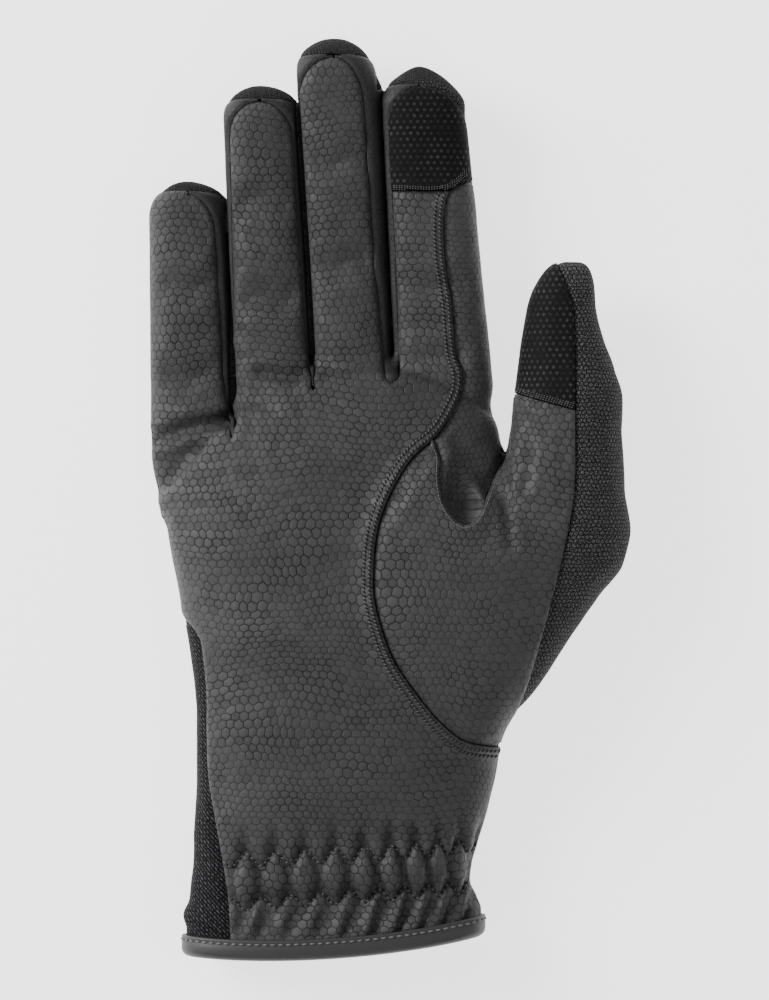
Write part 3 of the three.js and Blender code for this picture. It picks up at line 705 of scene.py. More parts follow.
def panel_sides(points):
    """For each panel, how far inside its seams each point lies."""
    p, y, z = points[:, :2], points[:, 1], points[:, 2]
    over, over_thumb = z - split_at(y), z - thumb_split_at(y)
    below = [(far, -far), (-far, -far), (-far, far)]
    palm_side = side_of(palm_edge, [*below, (far, far)], p)
    index_side = side_of(crotch, [(crotch[-1][0], far), (0, far)], p)
    back_side = side_of(back_thumb, [*below, (back_thumb[0][0], far)], p)
    knit_side = side_of(thumb_knit, [(far, 0), (far, far)], p)
    thumb_touch = side_of(thumb_patch, [(far, far), (-far, far)], p)
    index_touch = side_of(index_patch, [(far, far), (-far, far)], p)
    wrist_side = side_of(wrist, [(-far, -far), (-far, wrist_reach)], p)
    strips = either(*[strip_side(f, p) for f in fingers])
    tips = either(*[tip_side(f, p) for f in fingers], index_corner(p))
    spaces = [gusset_space(a, b, p) for a, b in neighbours]
    gussets = [both(over, space, -strips, -tips) for space in spaces]
    front = both(over, -both(either(*spaces), -strips), -tips)
    index_strip = strip_side(index, p)
    thumb_front = both(over_thumb, -palm_side, -index_side, -knit_side)
    thumb_outer = both(-palm_side, -index_side, knit_side)
    return {
        "palm_panel": both(front, palm_side, -wrist_side, -both(index_strip, index_touch)),
        "back_panel": both(either(-over, tips), back_side),
        "fourchette_little_ring": gussets[0],
        "fourchette_ring_middle": gussets[1],
        "fourchette_middle_index": gussets[2],
        "index_side_panel": both(front, -index_touch, -palm_side, index_side),
        "index_touch_patch": both(front, index_touch, index_strip),
        "thumb_palm_panel": both(thumb_front, -thumb_touch),
        "thumb_touch_patch": both(thumb_front, thumb_touch),
        "thumb_back_panel": both(-back_side, either(-over_thumb, thumb_outer)),
        "wrist_side_panel": both(over, wrist_side),
    }


plain_panels = {"back_panel", "thumb_back_panel"}
knits = {*plain_panels, "wrist_side_panel"}
for skin in skins.values():
    sides = panel_sides(skin["points"])
    panel_names = list(sides)
    skin["sides"] = np.stack(list(sides.values()), 1)
    nearest = skin["sides"].argmax(1)
    print({name: int((nearest == i).sum()) for i, name in enumerate(panel_names)})

# %% [markdown]
# ## Cut along the seams
# Each panel takes the triangles that lie on its own side of the seams. A triangle that a seam
# crosses is cut there, so that the panel's edge is one clean line.

# %% Cut the skin into panels
hem_cut = 1.8  # the panels end this far above the hem, inside the folded binding
edge_gap = seam_gap / 4  # soft leather closes half of the CAD's gap, and each side has half the rest


def edges_of(faces):
    """The three edges of every triangle."""
    return np.concatenate([faces[:, [0, 1]], faces[:, [1, 2]], faces[:, [2, 0]]])


def cut_out(skin, name):
    """The part of the skin that is a panel, cut exactly along its seams."""
    own = panel_names.index(name)
    rest = np.delete(skin["sides"], own, axis=1)
    inner = (skin["sides"][:, own] - rest.max(1)) / 2 - edge_gap
    neighbour = rest.argmax(1)
    neighbour = neighbour + (neighbour >= own)
    hem = skin["points"][:, 1] - hem_at(skin["points"][:, 0]) - hem_cut
    inner = np.minimum(inner, hem)
    neighbour = np.where(hem <= inner, -1, neighbour)
    keep = inner > 0
    faces = skin["faces"]
    kept = keep[faces]
    whole, mixed = faces[kept.all(1)], faces[kept.any(1) & ~kept.all(1)]
    # New points where the seam crosses an edge of a triangle
    ends = edges_of(mixed)
    ends = np.unique(np.sort(ends[keep[ends[:, 0]] != keep[ends[:, 1]]], 1), axis=0)
    a, b = ends.T
    t = np.clip(inner[a] / (inner[a] - inner[b]), 0.02, 0.98)[:, None]
    spots = skin["points"][a] * (1 - t) + skin["points"][b] * t
    ways = skin["outward"][a] * (1 - t) + skin["outward"][b] * t
    ways = ways / np.linalg.norm(ways, axis=1)[:, None]
    near = np.where(keep[a], neighbour[a], neighbour[b])
    start = len(skin["points"])
    number = {(int(i), int(j)): start + n for n, (i, j) in enumerate(ends)}
    # The kept part of each crossed triangle: one corner, or what is left without one
    parts = []
    for tri in mixed:
        inside = [bool(keep[v]) for v in tri]
        first = inside.index(True) if sum(inside) == 1 else inside.index(False)
        u, v, w = (int(tri[(first + n) % 3]) for n in range(3))
        uv, uw = number[min(u, v), max(u, v)], number[min(u, w), max(u, w)]
        parts += [(u, uv, uw)] if sum(inside) == 1 else [(uv, v, w), (uv, w, uw)]
    faces = np.concatenate([whole, np.array(parts, int).reshape(-1, 3)])
    used, faces = np.unique(faces, return_inverse=True)
    return {
        "points": np.concatenate([skin["points"], spots])[used],
        "outward": np.concatenate([skin["outward"], ways])[used],
        "depth": np.maximum(np.concatenate([inner, np.zeros(len(ends))])[used], 0),
        "near": np.concatenate([neighbour, near])[used],
        "faces": faces.reshape(-1, 3),
    }


panels = {}
for name in panel_names:
    panels[name] = cut_out(skins["plain" if name in plain_panels else "fine"], name)
    print(name, len(panels[name]["faces"]), "triangles")

# %% [markdown]
# ## Folds, gathers and turned edges
# Leather shows how it is sewn: an edge that lies on top is turned and stands a little proud, its
# neighbour sinks beside it, fingers fold across their joints, and elastic under the wrist pulls
# the palm into a row of small puffs between two wavy seams. All of this is real height, added
# along the skin's outward direction, because a bump map would vanish at a grazing angle.

# %% Heights that the maker's work adds
overlaps = {  # (panel on top, panel under it): how far the turned edge stands proud
    ("palm_panel", "index_side_panel"): 0.45,
    ("palm_panel", "thumb_palm_panel"): 0.5,
    ("palm_panel", "wrist_side_panel"): 0.35,
    ("palm_panel", "thumb_back_panel"): 0.3,
    ("palm_panel", "back_panel"): 0.2,
    ("thumb_palm_panel", "thumb_back_panel"): 0.3,
    ("thumb_palm_panel", "index_side_panel"): 0.5,
    ("index_touch_patch", "palm_panel"): 0.25,
    ("index_touch_patch", "back_panel"): 0.2,
    ("thumb_touch_patch", "thumb_palm_panel"): 0.25,
    ("thumb_touch_patch", "thumb_back_panel"): 0.25,
}
edge_reach, edge_round = 3.5, 0.45  # how wide a turned edge is, and how quickly it rounds off
under_share, under_reach = 1.6, 1.4  # what lies under it sinks more deeply, and more narrowly
cloth_sink, leather_sink = (0.2, 0.5), (0.5, 0.6)  # a plain seam's depth and width


def seam_height(name, depth, near):
    """How far a panel rises or sinks beside its seams."""
    height = np.zeros(len(depth))
    for i, other in enumerate(panel_names):
        here = near == i
        d = depth[here]
        if (name, other) in overlaps:  # its own edge is turned: proud, and round at the end
            rise = overlaps[name, other]
            height[here] = rise * bell(d, edge_reach) - rise * bell(d, edge_round)
        elif (other, name) in overlaps:  # it goes under the other's edge
            height[here] = -under_share * overlaps[other, name] * bell(d, under_reach)
        elif {name, other} & knits:  # a plain seam of cloth sinks a little, and of leather more
            height[here] = -cloth_sink[0] * bell(d, cloth_sink[1])
        else:
            height[here] = -leather_sink[0] * bell(d, leather_sink[1])
    return height


def waves(p, size, seed):
    """Soft uneven heights between -1 and 1, with waves of about a given size."""
    draw = np.random.default_rng(seed)
    total = np.zeros(len(p))
    for _ in range(10):
        way = draw.normal(size=3)
        way /= np.linalg.norm(way)
        pitch = size * draw.uniform(0.7, 1.5)
        total += np.sin(p @ way * (2 * math.pi / pitch) + draw.uniform(0, 7))
    return total / 4


def on_top(p):
    """1 on the palm's side of the glove, and 0 where it turns to the back."""
    return ramp(p[:, 2] - split_at(p[:, 1]), 0, 3)


def crease_height(p):
    """The folds across the fingers' joints, on the palm side."""
    x, y = p[:, 0], p[:, 1]
    height = np.zeros(len(p))
    for f in fingers:
        along = along_finger(f, y)
        mid_x, _ = on_finger(f, along, 0.0)
        across = np.abs(x - mid_x) / (on_finger(f, along, 1.0)[0] - mid_x)
        on = (1 - ramp(across, 0.5, 0.92)) * on_top(p)
        for share in creases:  # a wide hollow between two low swells, and a fine line in it
            off = (along - share) * f["length"] + 0.8 * np.sin(x * 0.5)
            height -= on * (0.7 * bell(off, 4.0) - 0.25 * bell(np.abs(off) - 6, 3))
            height -= on * 0.25 * bell(off, 1.0)
    return height


print("turned edges stand", min(overlaps.values()), "to", max(overlaps.values()), "mm proud")

# %% [markdown]
# ## The gathered wrist
# Elastic is sewn behind the palm's leather with two wavy rows of stitches, and it pulls the
# leather into a row of almond-shaped puffs. Above them are short folds, and below them longer
# ones that run down to the cuff.

# %% The gathers at the wrist
upper_row, lower_row = (26.8, 0.055), (15.6, 0.07)  # height at x = 0, and the climb to the right
gather_left, gather_right, row_wave = -26.0, 41.0, 1.5  # the rows' ends, and how far they wave
puff_pitch, pitch_drop = 7.7, 2.3  # a puff's width at the left, and how much it loses to the right
puff_tall, puff_valley = 1.8, 0.6  # between the rows
fold_tall, fold_valley = 0.8, 0.7  # above them
long_tall, long_valley = 1.9, 0.8  # below them
row_sink = 0.45  # how deep the stitches pull the leather in


def gather_phase(x):
    """How many puffs lie to the left of x. They get narrower to the right."""
    line = np.linspace(gather_left - 20, gather_right + 20, 400)
    pitch = puff_pitch - pitch_drop * ramp(line, 5, 35)
    count = np.concatenate([[0], np.cumsum(np.diff(line) / pitch[:-1])])
    return np.interp(x, line, count)


def row_at(row, x):
    """The height of a wavy seam at x: up over each puff in the upper row, down in the lower."""
    wave = -row_wave * np.cos(2 * math.pi * gather_phase(x))
    return row[0] + row[1] * x + wave * (1 if row is upper_row else -1)


def gather_height(p):
    """Puffs between the two seams, short folds above them and long ones down to the hem."""
    x, y, _ = p.T
    phase = gather_phase(x)
    top, low = row_at(upper_row, x), row_at(lower_row, x)
    across = 2 * (phase - np.floor(phase)) - 1  # from -1 to 1 over one puff
    up = (2 * y - top - low) / (top - low)  # from -1 to 1 between the seams
    uneven = 1 + 0.25 * np.sin(7.3 * np.floor(phase))
    narrow = np.maximum(0.05, 1 - up * up) ** 0.5
    lens = np.maximum(0, 1 - (across / (0.85 * narrow)) ** 2) ** 0.6
    lens = lens * np.maximum(0, 1 - up * up) ** 0.5
    height = puff_tall * uneven * lens - puff_valley * (np.abs(up) < 1)
    above, below = (y - top) * (y > top), (low - y) * (y < low)
    height += (y > top) * (fold_tall * np.cos(2 * math.pi * phase) - fold_valley) * bell(above, 5)
    lean = gather_phase(x + 0.45 * below)
    across = 2 * (lean - np.floor(lean)) - 1
    long_puff = np.maximum(0, np.abs(across) - 0.25) ** 0.6
    height += (y < low) * (long_tall * long_puff * uneven - long_valley) * ramp(below, 0, 1.5)
    for row in (top, low):
        height -= row_sink * bell(y - row, 0.8)
    return on_top(p) * height * ramp(y, 4.5, 8) * ramp(x, gather_left - 1, gather_left + 5)


print("puffs in a row:", int(gather_phase(gather_right) - gather_phase(gather_left)))

# %% Folds, the pocket and each panel's whole height
folds = [  # left in the leather by the hand: a line on the glove, the fold's depth and its width
    ([(-23.5, 139.5), (-32.5, 138), (-44, 134)], 1.5, 1.7),
    ([(-2.5, 152.5), (-7.8, 151), (-15, 152)], 0.8, 1.3),
    ([(18.7, 153), (27, 155), (36, 157)], 0.7, 2.2),
    ([(47.4, 129), (48.1, 119), (49.4, 107)], 0.5, 1.3),
    ([(53.4, 140), (54.1, 130.5), (52.8, 121)], 0.45, 1.2),
    ([(30, 131), (23, 124), (17.6, 115)], 0.5, 1.5),
    ([(-13, 143), (-22, 148), (-24, 156)], 0.5, 2.0),
]


def fold_height(p):
    """Each fold is a soft valley with a low swell beside it."""
    height = np.zeros(len(p))
    for line, depth, width in folds:
        d = line_distance(softened(line), p[:, :2])
        height -= depth * bell(d, width)
        height += 0.4 * depth * bell(d - 2.2 * width, width)
    return height * on_top(p)


pocket_place, pocket_size, pocket_depth = (35.2, 115.0), (6.5, 7.5), 2.8


def pocket_height(p):
    """The side of the index finger dives under the edge of the thumb's leather."""
    u = (p[:, 0] - pocket_place[0]) / pocket_size[0]
    v = (p[:, 1] - pocket_place[1]) / pocket_size[1]
    return -pocket_depth * np.exp(-(u * u + v * v) ** 1.5)


def panel_height(name, made):
    """All that is added to a panel along its outward direction."""
    p, depth = made["points"], made["depth"]
    height = seam_height(name, depth, made["near"])
    away = ramp(depth, 0, 3)
    soft = {"palm_panel": 0.35, "thumb_palm_panel": 0.3}.get(name, 0.2)
    height += soft * away * waves(p, 22.0, 3) + 0.06 * away * waves(p, 7.0, 5)
    if name in ("palm_panel", "thumb_palm_panel", "index_side_panel"):
        height += fold_height(p)
    if name in ("palm_panel", "index_side_panel"):
        height += crease_height(p)
    if name == "index_side_panel":
        height += pocket_height(p)
    if name == "palm_panel":
        height += gather_height(p) * ramp(depth, 0, 3.5)
    return height


for name, made in panels.items():
    made["skin"] = made["points"] + made["outward"] * panel_height(name, made)[:, None]
print("tallest point of the palm:", panels["palm_panel"]["skin"][:, 2].max().round(1), "mm")

# %% [markdown]
# ## The leather's own flat pattern
# Grain was pressed into the leather while it was flat, so it wraps round a finger instead of
# being projected on it. Each point keeps its place on that flat sheet: its way round the section
# from the middle line, and its way along. The grain in the material reads this place.

# %% Places on the flat leather


def girth(dx, dz, a, b, power, steps=12):
    """The way round a squared oval from its top to a point beside it."""
    angle = np.arctan2(np.abs(dx) / a, dz / b)
    total, before = np.zeros(len(dx)), None
    for n in range(steps + 1):
        turn = angle * n / steps
        s, c = np.abs(np.sin(turn)), np.cos(turn)
        reach = (s**power + np.abs(c) ** power) ** (-1 / power)
        now = (a * s * reach, b * c * reach)
        if before is not None:
            total += np.hypot(now[0] - before[0], now[1] - before[1])
        before = now
    return np.sign(dx) * total


def flat_place(p):
    """The place of skin points on the flat leather, shared between the forms that are near."""
    x, y, z = p.T
    left, right, top, _ = edges_at(hand, hand_share(x, y), half, palm_depth)
    mid = (left + right) / 2
    round_hand = girth(x - mid, z - split_height, (right - left) / 2, top - split_height, hand_power)
    ways, nearness = [mid + round_hand], [hand_form(x, y, z)]
    for f in fingers:
        along = along_finger(f, y)
        mid, _ = on_finger(f, along, 0.0)
        width, deep = on_finger(f, along, 1.0)[0] - mid, f["depth"] / 2 + 0 * x
        ways.append(mid + girth(x - mid, z - core_height(f, y), width, deep, finger_power))
        nearness.append(finger_form(f, x, y, z))
    for rows in (thumb, ball):
        along = along_thumb(y)
        left, right, top, bottom = edges_at(rows, along, thumb_width, thumb_depth)
        mid = thumb_start[0] + along * thumb_lean + (left + right) / 2
        width, deep = (right - left) / 2, (top - bottom) / 2
        ways.append(mid + girth(x - mid, z - (top + bottom) / 2, width, deep, thumb_power))
        nearness.append(thumb_form(rows, x, y, z))
    nearness = np.stack(nearness, 1)
    weight = np.exp(-(nearness - nearness.min(1, keepdims=True)) / 1.2)
    across = (weight * np.stack(ways, 1)).sum(1) / weight.sum(1)
    return np.stack([across, y, np.zeros(len(y))], 1)


def over_tips(p):
    """How far the knit over the fingertips has run down their ends, to add to its way along."""
    down = np.zeros(len(p))
    for f in fingers:
        tip = root_of(f)[1] + f["length"]
        on = ramp(p[:, 1], tip - f["round"], tip - 0.3 * f["round"])
        on = on * (np.abs(p[:, 0] - on_finger(f, 1.0, 0.0)[0]) < f["tip"] + 2)
        down = np.maximum(down, on)
    return down * (tip_lift + split_height - p[:, 2])


for made in panels.values():
    made["flat"] = flat_place(made["points"])
panels["back_panel"]["flat"][:, 1] += over_tips(panels["back_panel"]["points"])
print("flat palm is", np.ptp(panels["palm_panel"]["flat"][:, 0]).round(), "mm wide")

# %% [markdown]
# ## Panels with real thickness
# Each panel is closed: the skin, the same skin drawn in by the leather's thickness, and a wall
# along the cut edge between them. That way the open cuff shows a lining side and the seams have
# two real edges.

# %% Closed panels
thickness = {"palm_panel": 1.1, "wrist_side_panel": 0.9}  # the others are 1 mm thick
slots = {name: "knit" if name in knits else "leather" for name in panel_names}
slots["index_touch_patch"] = slots["thumb_touch_patch"] = "touch"


def to_row(points):
    """Glove places in millimetres to the row's frame in metres."""
    return (points - shift) * mm


def mesh_object(name, points, faces, material, places=None):
    """A smooth mesh in the scene, with its places on the flat leather where it has any."""
    mesh = bpy.data.meshes.new(name)
    mesh.from_pydata(to_row(points).tolist(), [], faces if isinstance(faces, list) else faces.tolist())
    mesh.polygons.foreach_set("use_smooth", [True] * len(mesh.polygons))
    if places is not None:
        made = mesh.attributes.new("flat_place", "FLOAT_VECTOR", "POINT")
        made.data.foreach_set("vector", places.astype(np.float32).ravel())
    mesh.materials.append(material)
    mesh.update()
    obj = bpy.data.objects.new(name, mesh)
    bpy.context.scene.collection.objects.link(obj)
    return obj


def closed(made, inset):
    """The skin of a panel, its inner side and the walls of its edges."""
    outer, faces = made["skin"], made["faces"]
    inner = made["skin"] - made["outward"] * np.reshape(inset, (-1, 1))
    count = len(outer)
    edges = edges_of(faces)
    _, index_of, times = np.unique(np.sort(edges, 1), axis=0, return_inverse=True, return_counts=True)
    a, b = edges[times[index_of.ravel()] == 1].T  # an edge with one triangle is on the border
    walls = np.concatenate([
        np.stack([b, a, a + count], 1), np.stack([b, a + count, b + count], 1),
    ])
    faces = np.concatenate([faces, faces[:, ::-1] + count, walls])
    return np.vstack([outer, inner]), faces, np.vstack([made["flat"]] * 2)


def dress(obj, node):
    """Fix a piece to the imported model."""
    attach(obj, "root")
    if node:
        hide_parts(node)
    return obj


# %% [markdown]
# ## Finishes
# Leather, knit and touch cloth are worked out from the flat place by a few sums, so the grain
# stays the same size everywhere. The class below lets the sums be written as they would be on
# paper: each operator adds the Math node that does it.

# %% Shader sums


class Wire:
    """One output of a node. Sums of wires add Math nodes."""

    def __init__(self, finish, socket):
        self.finish, self.socket = finish, socket

    def math(self, operation, *others):
        values = dict(enumerate((self, *others)))
        return self.finish.node("Math", {"operation": operation}, values)

    def __add__(self, other):
        return self.math("ADD", other)

    def __sub__(self, other):
        return self.math("SUBTRACT", other)

    def __mul__(self, other):
        return self.math("MULTIPLY", other)

    def __rsub__(self, other):
        return self * -1 + other

    __radd__, __rmul__ = __add__, __mul__

    def fraction(self):
        return self.math("FRACT")

    def step(self, low, high):
        """From 0 at low to 1 at high, smoothly."""
        values = {"Value": self, "From Min": low, "From Max": high}
        return self.finish.node("MapRange", {"interpolation_type": "SMOOTHSTEP"}, values)


# %% A material and its nodes


class Finish:
    """A material and the nodes that make it."""

    def __init__(self, name):
        self.material = bpy.data.materials.new(name)
        self.material.use_nodes = True
        self.tree = self.material.node_tree
        self.tree.nodes.clear()

    def node(self, kind, settings=None, values=None, out=0):
        made = self.tree.nodes.new("ShaderNode" + kind)
        for key, value in (settings or {}).items():
            setattr(made, key, value)
        for key, value in (values or {}).items():
            socket = made.inputs[key]
            if isinstance(value, Wire):
                self.tree.links.new(value.socket, socket)
            else:
                socket.default_value = value
        return None if out is None else Wire(self, made.outputs[out])

    def mix(self, share, a, b):
        """Between two colours."""
        return self.node("Mix", {"data_type": "RGBA"}, {0: share, 6: a, 7: b}, out=2)

    def two(self, vector):
        """The first two lengths of a vector."""
        first = self.node("SeparateXYZ", {}, {0: vector})
        return first, Wire(self, first.socket.node.outputs[1])

    def place(self):
        """The flat place, as a vector and as its two lengths in millimetres."""
        spot = self.node("Attribute", {"attribute_name": "flat_place"}, out=1)
        return spot, *self.two(spot)

    def noise(self, spot, size, detail=2.0, out=0):
        """Uneven clouds of about a given size in millimetres."""
        return self.node("TexNoise", {}, {"Vector": spot, "Scale": 1 / size, "Detail": detail}, out)

    def clouds(self, spot, size, detail):
        """Two different uneven clouds of the same size."""
        return self.two(self.noise(spot, size, detail, out=1))

    def chance(self, u, v):
        """A number between 0 and 1 that is drawn for each place."""
        spot = self.node("CombineXYZ", {}, {0: u, 1: v})
        return self.node("TexWhiteNoise", {"noise_dimensions": "2D"}, {"Vector": spot})

    def finish(self, height, depth_mm, **values):
        """The surface, its bump and the output."""
        bump = self.node("Bump", {}, {"Height": height, "Distance": depth_mm * mm, "Strength": 1.0})
        values = {key.replace("_", " "): value for key, value in values.items()}
        shader = self.node("BsdfPrincipled", {}, {**values, "Normal": bump})
        return self.output(shader)

    def output(self, shader):
        self.node("OutputMaterial", {}, {"Surface": shader}, out=None)
        return self.material


def rgb(r, g, b):
    return (r, g, b, 1.0)


def shade(colour, share):
    """A colour made darker or lighter."""
    return tuple(c * share for c in colour[:3]) + (1.0,)


# %% [markdown]
# ## Leather
# The leather is pressed with rounded six-sided cells between thin grooves, which are coloured
# near black as painted shade, and rubbed flat in patches. Two grids of cells, one half a cell
# further on, give the six sides, and soft noise pushes each place about before it is looked up,
# so that no row stays straight.

# %% Grained leather
row_ratio = math.sqrt(3)  # six-sided cells are this much taller than wide, over two rows


def pebbles(finish, u, v, size):
    """Six-sided cells of a given size: the distance from each cell's edge, and its middle."""
    u, v = u * (1 / size), v * (1 / size)
    ax, ay = u.fraction() - 0.5, (v * (1 / row_ratio)).fraction() * row_ratio - row_ratio / 2
    bx = (u - 0.5).fraction() - 0.5
    by = (v * (1 / row_ratio) - 0.5).fraction() * row_ratio - row_ratio / 2
    nearer = (ax * ax + ay * ay).math("LESS_THAN", bx * bx + by * by)
    gx = bx + nearer * (ax - bx)
    gy = by + nearer * (ay - by)
    side, tall = gx.math("ABSOLUTE"), gy.math("ABSOLUTE")
    edge = 0.5 - side.math("MAXIMUM", side * 0.5 + tall * (row_ratio / 2))
    return edge, u - gx, v - gy


def grained_leather(name, size, colour, relief, unevenness=0.24, flat_patches=0.4):
    """Leather with a pressed grain of rounded cells and thin grooves, with painted shade in the
    grooves.
    """
    f = Finish(name)
    spot, u, v = f.place()
    drift_u, drift_v = f.clouds(spot, size * 2.2, 2.0)
    wide_u, wide_v = f.clouds(spot, 30.0, 1.0)
    drift, wide = size * unevenness * 3, 9
    u = u + (drift_u - 0.5) * drift + (wide_u - 0.5) * wide
    v = v + (drift_v - 0.5) * drift + (wide_v - 0.5) * wide
    edge, cell_u, cell_v = pebbles(f, u, v, size)
    chance = f.chance(cell_u, cell_v)
    edge = edge + (chance - 0.5) * 0.04
    dome = edge.step(-0.01, 0.1) * 0.75 + edge.step(0.0, 0.4) * 0.25
    flatness = f.noise(spot, 13.0).step(0.4, 0.6)
    fine = f.noise(spot, 0.3, 3.0)
    height = dome * (1 - flatness * flat_patches) + fine * 0.1 + chance * 0.1
    groove = (1 - edge.step(0.0, 0.062)) * (1 - flatness * flat_patches)
    cell_tone = f.mix(chance, shade(colour, 0.92), shade(colour, 1.08))
    # painted shade: the grooves between the cells are coloured near black
    tone = f.mix(groove, cell_tone, shade(colour, 0.15))
    tone = f.mix(f.noise(spot, 35.0).step(0.35, 0.65) * 0.25, tone, shade(colour, 1.3))
    rough = 0.58 + groove * 0.3 + (fine - 0.5) * 0.12
    return f.finish(height, relief, Base_Color=tone, Roughness=rough, Specular_IOR_Level=0.32)


# Each one's name, its cells' size, its colour and its relief, in millimetres
leather_grey = rgb(0.039, 0.039, 0.0395)
palm_leather = grained_leather("palm_leather", 2.25, leather_grey, 0.21)
# painted light: the index finger's side leather is coloured lighter against the shade in the dent at
# the thumb's crotch
painted_light_side_leather = grained_leather("painted_light_side_leather", 1.8, shade(leather_grey, 1.15), 0.14, 0.3, 0.2)
# painted shade: the leather strips between the fingers are coloured at half the grey, for the shade on
# their sides away from the light
painted_shade_strip_leather = grained_leather("painted_shade_strip_leather", 1.5, shade(leather_grey, 0.5), 0.04)
print("leathers:", palm_leather.name, painted_light_side_leather.name, painted_shade_strip_leather.name)

# %% [markdown]
# ## Cloths and threads
# The knit is black with a pale fleck of yarn on each stitch, the strip at the wrist is ribbed
# aslant, and the touch cloth is a fine weave with small dots. They are the leather's cells or
# plain strokes at other sizes, with fine noise over them for the yarn.

# %% Knit, touch cloth, binding leather and thread
dull_cloth = {"Roughness": 0.85, "Specular_IOR_Level": 0.12}


def pebble_knit(name, colour, pitch, relief=0.3):
    """Knit with small round bumps in staggered rows, and the pale flecks of its yarn."""
    f = Finish(name)
    spot, u, v = f.place()
    drift_u, drift_v = f.clouds(spot, pitch * 3, 1.0)
    edge, cell_u, cell_v = pebbles(f, u + (drift_u - 0.5) * pitch, v + (drift_v - 0.5) * pitch, pitch)
    dome = edge.step(-0.03, 0.2)
    fleck = f.noise(spot, 0.3, 3.0).step(0.42, 0.6)
    light = dome * (fleck * 0.85 + f.chance(cell_u, cell_v) * 0.15)
    tone = f.mix(light, shade(colour, 0.06), shade(colour, 9.5))
    return f.finish(dome + fleck * 0.4, relief, Base_Color=tone, **dull_cloth)


def slanted_knit(name, colour, pitch):
    """Stretch knit whose stitches run aslant in short pale strokes."""
    f = Finish(name)
    spot, u, v = f.place()
    across, along = (u + v) * (0.7 / pitch), (u - v) * (0.7 / pitch)
    rib = 1 - (across.fraction() - 0.5).math("ABSOLUTE") * 2
    gap = ((along * 0.45 + across * 0.5).fraction() - 0.5).math("ABSOLUTE") * 2
    stroke = rib.step(0.25, 0.8) * (1 - gap.step(0.7, 0.95))
    fleck = f.noise(spot, 0.6, 3.0).step(0.35, 0.7)
    tone = f.mix(stroke * fleck, shade(colour, 0.25), shade(colour, 7.0))
    return f.finish(stroke, 0.2, Base_Color=tone, **dull_cloth)


def dotted_cloth(name, colour, dot, pitch=1.75):
    """Touch cloth: near black and finely woven, with small uneven pale dots in staggered rows."""
    f = Finish(name)
    spot, u, v = f.place()
    edge, cell_u, cell_v = pebbles(f, u, v, pitch)
    patches = f.noise(spot, 7.0).step(0.35, 0.65)
    mark = edge.step(0.2, 0.36) * (f.chance(cell_u, cell_v) * 0.6 + 0.4) * (patches * 0.8 + 0.2)
    weave = f.noise(spot, 0.35, 3.0).step(0.42, 0.68)
    mark = mark * (weave * 0.6 + 0.4)
    tone = f.mix(weave * 0.6, colour, shade(colour, 3.5))
    tone = f.mix(mark, tone, dot)
    height, rough = mark * 0.6 + weave * 0.4, 0.7 - mark * 0.2
    return f.finish(height, 0.15, Base_Color=tone, Roughness=rough, Specular_IOR_Level=0.1)


def plain_finish(name, colour, rough, grain=0.5, relief=0.05):
    """Smooth leather or thread, a little uneven."""
    f = Finish(name)
    where = f.node("TexCoord", {}, {}, out=3)
    cloud = f.node("TexNoise", {}, {"Vector": where, "Scale": 1 / (grain * mm), "Detail": 3.0})
    tone = f.mix(cloud * 0.5, colour, shade(colour, 1.3))
    return f.finish(cloud, relief, Base_Color=tone, Roughness=rough, Specular_IOR_Level=0.4)


knit_black = pebble_knit("knit_black", rgb(0.01, 0.01, 0.01), 1.0)
thumb_knit_cloth = pebble_knit("thumb_knit_cloth", rgb(0.016, 0.016, 0.016), 1.2)
side_knit = slanted_knit("side_knit", rgb(0.013, 0.013, 0.014), 0.8)
touch_cloth = dotted_cloth("touch_cloth", rgb(0.0045, 0.0045, 0.0045), rgb(0.09, 0.09, 0.09))
binding_leather = plain_finish("binding_leather", shade(leather_grey, 0.8), 0.5)
thread_black = plain_finish("thread_black", rgb(0.008, 0.008, 0.009), 0.7, 0.2, 0.02)
# grey thread, also used as painted highlight between the black stitches of the palm's seams
thread_grey_and_highlight = plain_finish("thread_grey_and_highlight", rgb(0.11, 0.11, 0.11), 0.6, 0.2, 0.02)
finish_of = {name: painted_shade_strip_leather for name in panel_names}
finish_of.update(
    palm_panel=palm_leather, thumb_palm_panel=palm_leather, index_side_panel=painted_light_side_leather,
    index_touch_patch=touch_cloth, thumb_touch_patch=touch_cloth, back_panel=knit_black,
    thumb_back_panel=thumb_knit_cloth, wrist_side_panel=side_knit,
)
print("cloths:", ", ".join(sorted({finish.name for finish in finish_of.values()})))

# %% Make the panels
for name, made in panels.items():
    inset = thickness.get(name, 1.0)
    if name == "thumb_palm_panel":
        inset = inset - pocket_height(made["points"])  # the rolled rim reaches into the pocket
    points, faces, places = closed(made, inset)
    obj = mesh_object(name + "_soft", points, faces, finish_of[name], places)
    dress(obj, name)
    print(obj.name, len(obj.data.polygons), "faces")

# %% [markdown]
# ## The bound cuff
# A narrow strip of smooth leather is folded over the raw edge and stitched down. It is one
# closed profile, an outer leg, a round fold and an inner leg, carried round the hem.

# %% The binding
binding_tall, binding_skin, binding_clear, fold_start = 5.5, 1.0, 0.3, 1.5
outer_off, inner_off = binding_clear + binding_skin, -wall - binding_clear - binding_skin
groove_down = 1.15  # the thread pulls a shallow groove this far below the strip's edge


